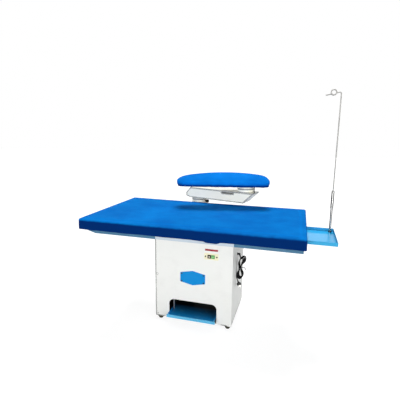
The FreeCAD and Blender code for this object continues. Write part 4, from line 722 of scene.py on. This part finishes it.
def swell(piece, held, most):
    """Blow the piece up as cloth, with the held points fixed. Each point moves straight out, up to most."""
    before = [(corner.co.copy(), corner.normal.copy()) for corner in piece.data.vertices]
    pins = piece.vertex_groups.new(name="held")
    pins.add(held, 1.0, "REPLACE")
    cloth = piece.modifiers.new("cloth", "CLOTH")
    cloth.settings.use_pressure = True
    cloth.settings.uniform_pressure_force = SIM_PRESSURE
    cloth.settings.vertex_group_mass = "held"
    cloth.settings.effector_weights.gravity = 0
    cloth.point_cache.frame_end = SIM_FRAMES
    for number in range(1, SIM_FRAMES + 1):
        scene.frame_set(number)
    blown = piece.evaluated_get(bpy.context.evaluated_depsgraph_get()).data
    moves = [(corner.co - start).dot(outward) for corner, (start, outward) in zip(blown.vertices, before)]
    piece.modifiers.remove(cloth)
    piece.vertex_groups.remove(pins)
    scene.frame_set(1)
    for corner, (start, outward), move in zip(piece.data.vertices, before, moves):
        corner.co = start + outward * min(max(move, 0), most)


def edge_profile(reach, drop):
    """How far out and how far down the cloth is, after a reach measured along it from the flat top."""
    flat = CORNER - EDGE
    bend = EDGE * math.pi / 2
    side = drop - EDGE - TUCK
    if reach <= flat:
        return reach, 0.0
    if reach <= flat + bend:
        angle = (reach - flat) / EDGE
        return flat + EDGE * math.sin(angle), EDGE * (1 - math.cos(angle))
    if reach <= flat + bend + side:
        return CORNER, EDGE + reach - flat - bend
    angle = (reach - flat - bend - side) / TUCK
    return CORNER - TUCK * (1 - math.cos(angle)), drop - TUCK + TUCK * math.sin(angle)


def even_steps(low, high, count):
    """Numbers at even steps from low to high."""
    return [low + (high - low) * number / count for number in range(count + 1)]


def board_cover():
    """The board's cover as one sheet: top with a soft front slope and a fuller left end, rounded edges, and
    sides down to a hem that waves a little and sags at one place."""
    low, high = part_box("board_cover")
    half = [high.x - START_INSET, high.y - START_INSET]
    top = high.z + TOP_RISE - START_INSET
    drop = top - low.z
    flat_end = CORNER - EDGE
    bend_end = flat_end + EDGE * math.pi / 2
    side_end = bend_end + drop - EDGE - TUCK
    reaches = [flat_end / 2, flat_end]
    reaches += even_steps(flat_end, bend_end, EDGE_STEPS)[1:]
    reaches += even_steps(bend_end, side_end, SIDE_STEPS)[1:]
    reaches += even_steps(side_end, side_end + TUCK * math.pi / 2, TUCK_STEPS)[1:]
    axes = []
    for side in half:
        inner = side - CORNER
        count = round(2 * inner / TOP_STEP)
        spots = [(-inner, -reach) for reach in reversed(reaches)]
        spots += [(place, 0.0) for place in even_steps(-inner, inner, count)]
        spots += [(inner, reach) for reach in reaches]
        axes.append(spots)
    mesh = bmesh.new()
    grid = []
    for x, reach_x in axes[0]:
        column = []
        for y, reach_y in axes[1]:
            wide, deep = abs(reach_x), abs(reach_y)
            reach = max(wide, deep)
            out, down = edge_profile(reach, drop)
            if reach == 0:
                angle = 0
            elif wide >= deep:
                angle = math.pi / 4 * deep / wide
            else:
                angle = math.pi / 2 - math.pi / 4 * wide / deep
            spot = Vector((
                x + math.copysign(out * math.cos(angle), reach_x) * (wide > 0),
                y + math.copysign(out * math.sin(angle), reach_y) * (deep > 0),
                top - down,
            ))
            slope = max(0.0, 1 - (half[1] + spot.y) / SLOPE_WIDTH) ** 2
            slope *= min(1.0, (half[0] - abs(spot.x)) / SLOPE_END)
            spot.z -= SLOPE_DROP * slope * (1 - down / drop)
            left = max(0.0, -spot.x / half[0])
            spot.x -= LEFT_FULL * left
            spot.z += LEFT_RISE * left * (1 - down / drop)
            if reach_y < 0 and abs(spot.x - SAG_AT) < SAG_HALF:
                spot.z -= HEM_SAG * (down / drop) ** 2
            share = max(0.0, down / drop - WAVE_START)
            wave = noise.noise(spot * WAVES_PER_METRE) * HEM_WAVE
            wave += noise.noise(spot * RIPPLES_PER_METRE) * HEM_RIPPLE
            spot.z += wave * share
            spot.x += math.copysign(wave * share, reach_x) * (wide > 0)
            spot.y += math.copysign(wave * share, reach_y) * (deep > 0)
            column.append(mesh.verts.new(spot))
        grid.append(column)
    for left, right in zip(grid, grid[1:]):
        for a, b, c, d in zip(left, right, right[1:], left[1:]):
            mesh.faces.new((a, b, c, d))
    hem = grid[0] + grid[-1]
    hem += [column[0] for column in grid[1:-1]] + [column[-1] for column in grid[1:-1]]
    mesh.verts.index_update()
    held = [corner.index for corner in hem]
    for face in mesh.faces:
        face.smooth = True
    data = bpy.data.meshes.new("board_cloth")
    mesh.to_mesh(data)
    mesh.free()
    piece = bpy.data.objects.new("board_cloth", data)
    scene.collection.objects.link(piece)
    swell(piece, held, BOARD_SWELL)
    thick = piece.modifiers.new("cloth_thickness", "SOLIDIFY")
    thick.thickness = CLOTH_THICK
    thick.offset = -1
    smooth = piece.modifiers.new("smooth", "SUBSURF")
    smooth.levels = 1
    smooth.render_levels = 1
    return piece


board = board_cover()
board.data.materials.append(board_cloth)
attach(board, "frame")
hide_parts("board_cover", "felt_pad")

# Sleeve buck: the pad's form, remeshed and blown up a little, with a rolled hem round its lower edge

BUCK_VOXEL = 6 * MM
BUCK_SWELL = 5 * MM
BUCK_HELD = 4 * MM
RIM_BAND = 3 * MM
ROLL_RADIUS = 3.2 * MM
ROLL_POINTS = 110
ROLL_HEIGHT = 3.4 * MM
ROLL_WAVE = 2.2 * MM
ROLL_WAVES_PER_METRE = 28.0


def buck_padding():
    """The buck's pad, remeshed evenly and blown up a little above its base."""
    piece = bpy.data.objects.new("buck_padding", nodes["buck_pad"].data.copy())
    scene.collection.objects.link(piece)
    remesh = piece.modifiers.new("remesh", "REMESH")
    remesh.mode = "VOXEL"
    remesh.voxel_size = BUCK_VOXEL
    remesh.use_smooth_shade = True
    shape = bpy.data.meshes.new_from_object(piece.evaluated_get(bpy.context.evaluated_depsgraph_get()))
    piece.modifiers.remove(remesh)
    piece.data = shape
    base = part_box("buck_pad")[0].z
    held = [corner.index for corner in shape.vertices if corner.co.z < base + BUCK_HELD]
    swell(piece, held, BUCK_SWELL)
    smooth = piece.modifiers.new("smooth", "SUBSURF")
    smooth.levels = 1
    smooth.render_levels = 1
    return piece


def outline(points):
    """The corners of the tightest loop around points on a plane, anticlockwise."""
    ordered = sorted({(round(x, 5), round(y, 5)) for x, y in points})
    loop = []
    for way in (ordered, ordered[::-1]):
        half = []
        for x, y in way:
            while len(half) > 1:
                (ax, ay), (bx, by) = half[-2:]
                if (bx - ax) * (y - ay) - (by - ay) * (x - ax) > 0:
                    break
                half.pop()
            half.append((x, y))
        loop += half[:-1]
    return [Vector((x, y)) for x, y in loop]


def even_loop(corners, count):
    """Points at even steps along a closed loop."""
    lengths = [(after - before).length for before, after in zip(corners, corners[1:] + corners[:1])]
    step = sum(lengths) / count
    points = []
    travelled = 0.0
    for corner, after, length in zip(corners, corners[1:] + corners[:1], lengths):
        while len(points) * step < travelled + length and len(points) < count:
            points.append(corner.lerp(after, (len(points) * step - travelled) / length))
        travelled += length
    return points


def buck_hem():
    """A rolled hem that waves a little round the buck's lower edge."""
    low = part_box("buck_cover")[0].z
    corners = nodes["buck_cover"].data.vertices
    rim = [corner.co.xy for corner in corners if corner.co.z < low + RIM_BAND]
    points = []
    for spot in even_loop(outline(rim), ROLL_POINTS):
        wave = noise.noise(Vector((*spot, 0.0)) * ROLL_WAVES_PER_METRE)
        points.append(Vector((*spot, low + ROLL_HEIGHT + wave * ROLL_WAVE)))
    return spline_piece("buck_hem", points, ROLL_RADIUS, cyclic=True)


buck = buck_padding()
buck.data.materials.clear()
buck.data.materials.append(buck_cloth)
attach(buck, "buck")
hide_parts("buck_cover", "buck_pad")
hem_roll = buck_hem()
hem_roll.data.materials.append(buck_cloth)
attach(hem_roll, "buck")

# Stage: white floor and surroundings, and four soft lights from the front, above, the right and the back left

FLOOR_HALF = 20.0
FLOOR_GREY = 0.28
FLOOR_GLOW = 0.86
SKY_LIGHT = 0.2
WHITE = (1, 1, 1, 1)
# Each light's name, strength, spread in degrees, and the way towards it
LIGHTS = [
    ("front_light", 2.93, 25, (-0.1, -1.0, 0.03)),
    ("top_light", 2.75, 24, (-0.08, 0.4, 1.0)),
    ("side_light", 1.96, 60, (0.9, -0.35, 0.22)),
    ("back_light", 1.1, 40, (-0.9, 0.5, 0.06)),
]


def white_to_the_eye(tree):
    """1 for what the camera sees, straight or in mirrors and glass, and 0 for all other light."""
    rays = add(tree, "LightPath").outputs
    seen = rays["Is Camera Ray"]
    for kind in ("Is Glossy Ray", "Is Transmission Ray"):
        seen = add(tree, "Math", {0: seen, 1: rays[kind]}, operation="MAXIMUM").outputs[0]
    return seen


def stage():
    """A white world, a white floor that keeps the shadow, and the lights."""
    world = bpy.data.worlds.new("studio")
    scene.world = world
    world.use_nodes = True
    tree = world.node_tree
    tree.nodes.clear()
    seen = white_to_the_eye(tree)
    strength = add(tree, "MapRange", {0: seen, 1: 0.0, 2: 1.0, 3: SKY_LIGHT, 4: 1.0})
    sky = add(tree, "Background", {"Color": WHITE, "Strength": strength.outputs[0]})
    add(tree, "OutputWorld", {"Surface": sky.outputs[0]})

    mesh = bpy.data.meshes.new("studio_floor")
    far = FLOOR_HALF
    mesh.from_pydata([(-far, -far, 0), (far, -far, 0), (far, far, 0), (-far, far, 0)], [], [(0, 1, 2, 3)])
    floor = bpy.data.objects.new("studio_floor", mesh)
    scene.collection.objects.link(floor)
    finish = bpy.data.materials.new("studio_paper")
    finish.use_nodes = True
    tree = finish.node_tree
    tree.nodes.clear()
    seen = white_to_the_eye(tree)
    glow = add(tree, "MapRange", {0: seen, 1: 0.0, 2: 1.0, 3: 0.0, 4: FLOOR_GLOW})
    paper = add(tree, "BsdfDiffuse", {"Color": (FLOOR_GREY, FLOOR_GREY, FLOOR_GREY, 1)})
    lit = add(tree, "Emission", {"Color": WHITE, "Strength": glow.outputs[0]})
    both = add(tree, "AddShader", {0: paper.outputs[0], 1: lit.outputs[0]})
    add(tree, "OutputMaterial", {"Surface": both.outputs[0]})
    mesh.materials.append(finish)

    for name, energy, spread, aim in LIGHTS:
        lamp = bpy.data.lights.new(name, "SUN")
        lamp.energy = energy
        lamp.angle = math.radians(spread)
        place = bpy.data.objects.new(name, lamp)
        place.rotation_euler = Vector(aim).to_track_quat("Z", "Y").to_euler()
        scene.collection.objects.link(place)


stage()
scene.view_settings.view_transform = "Standard"
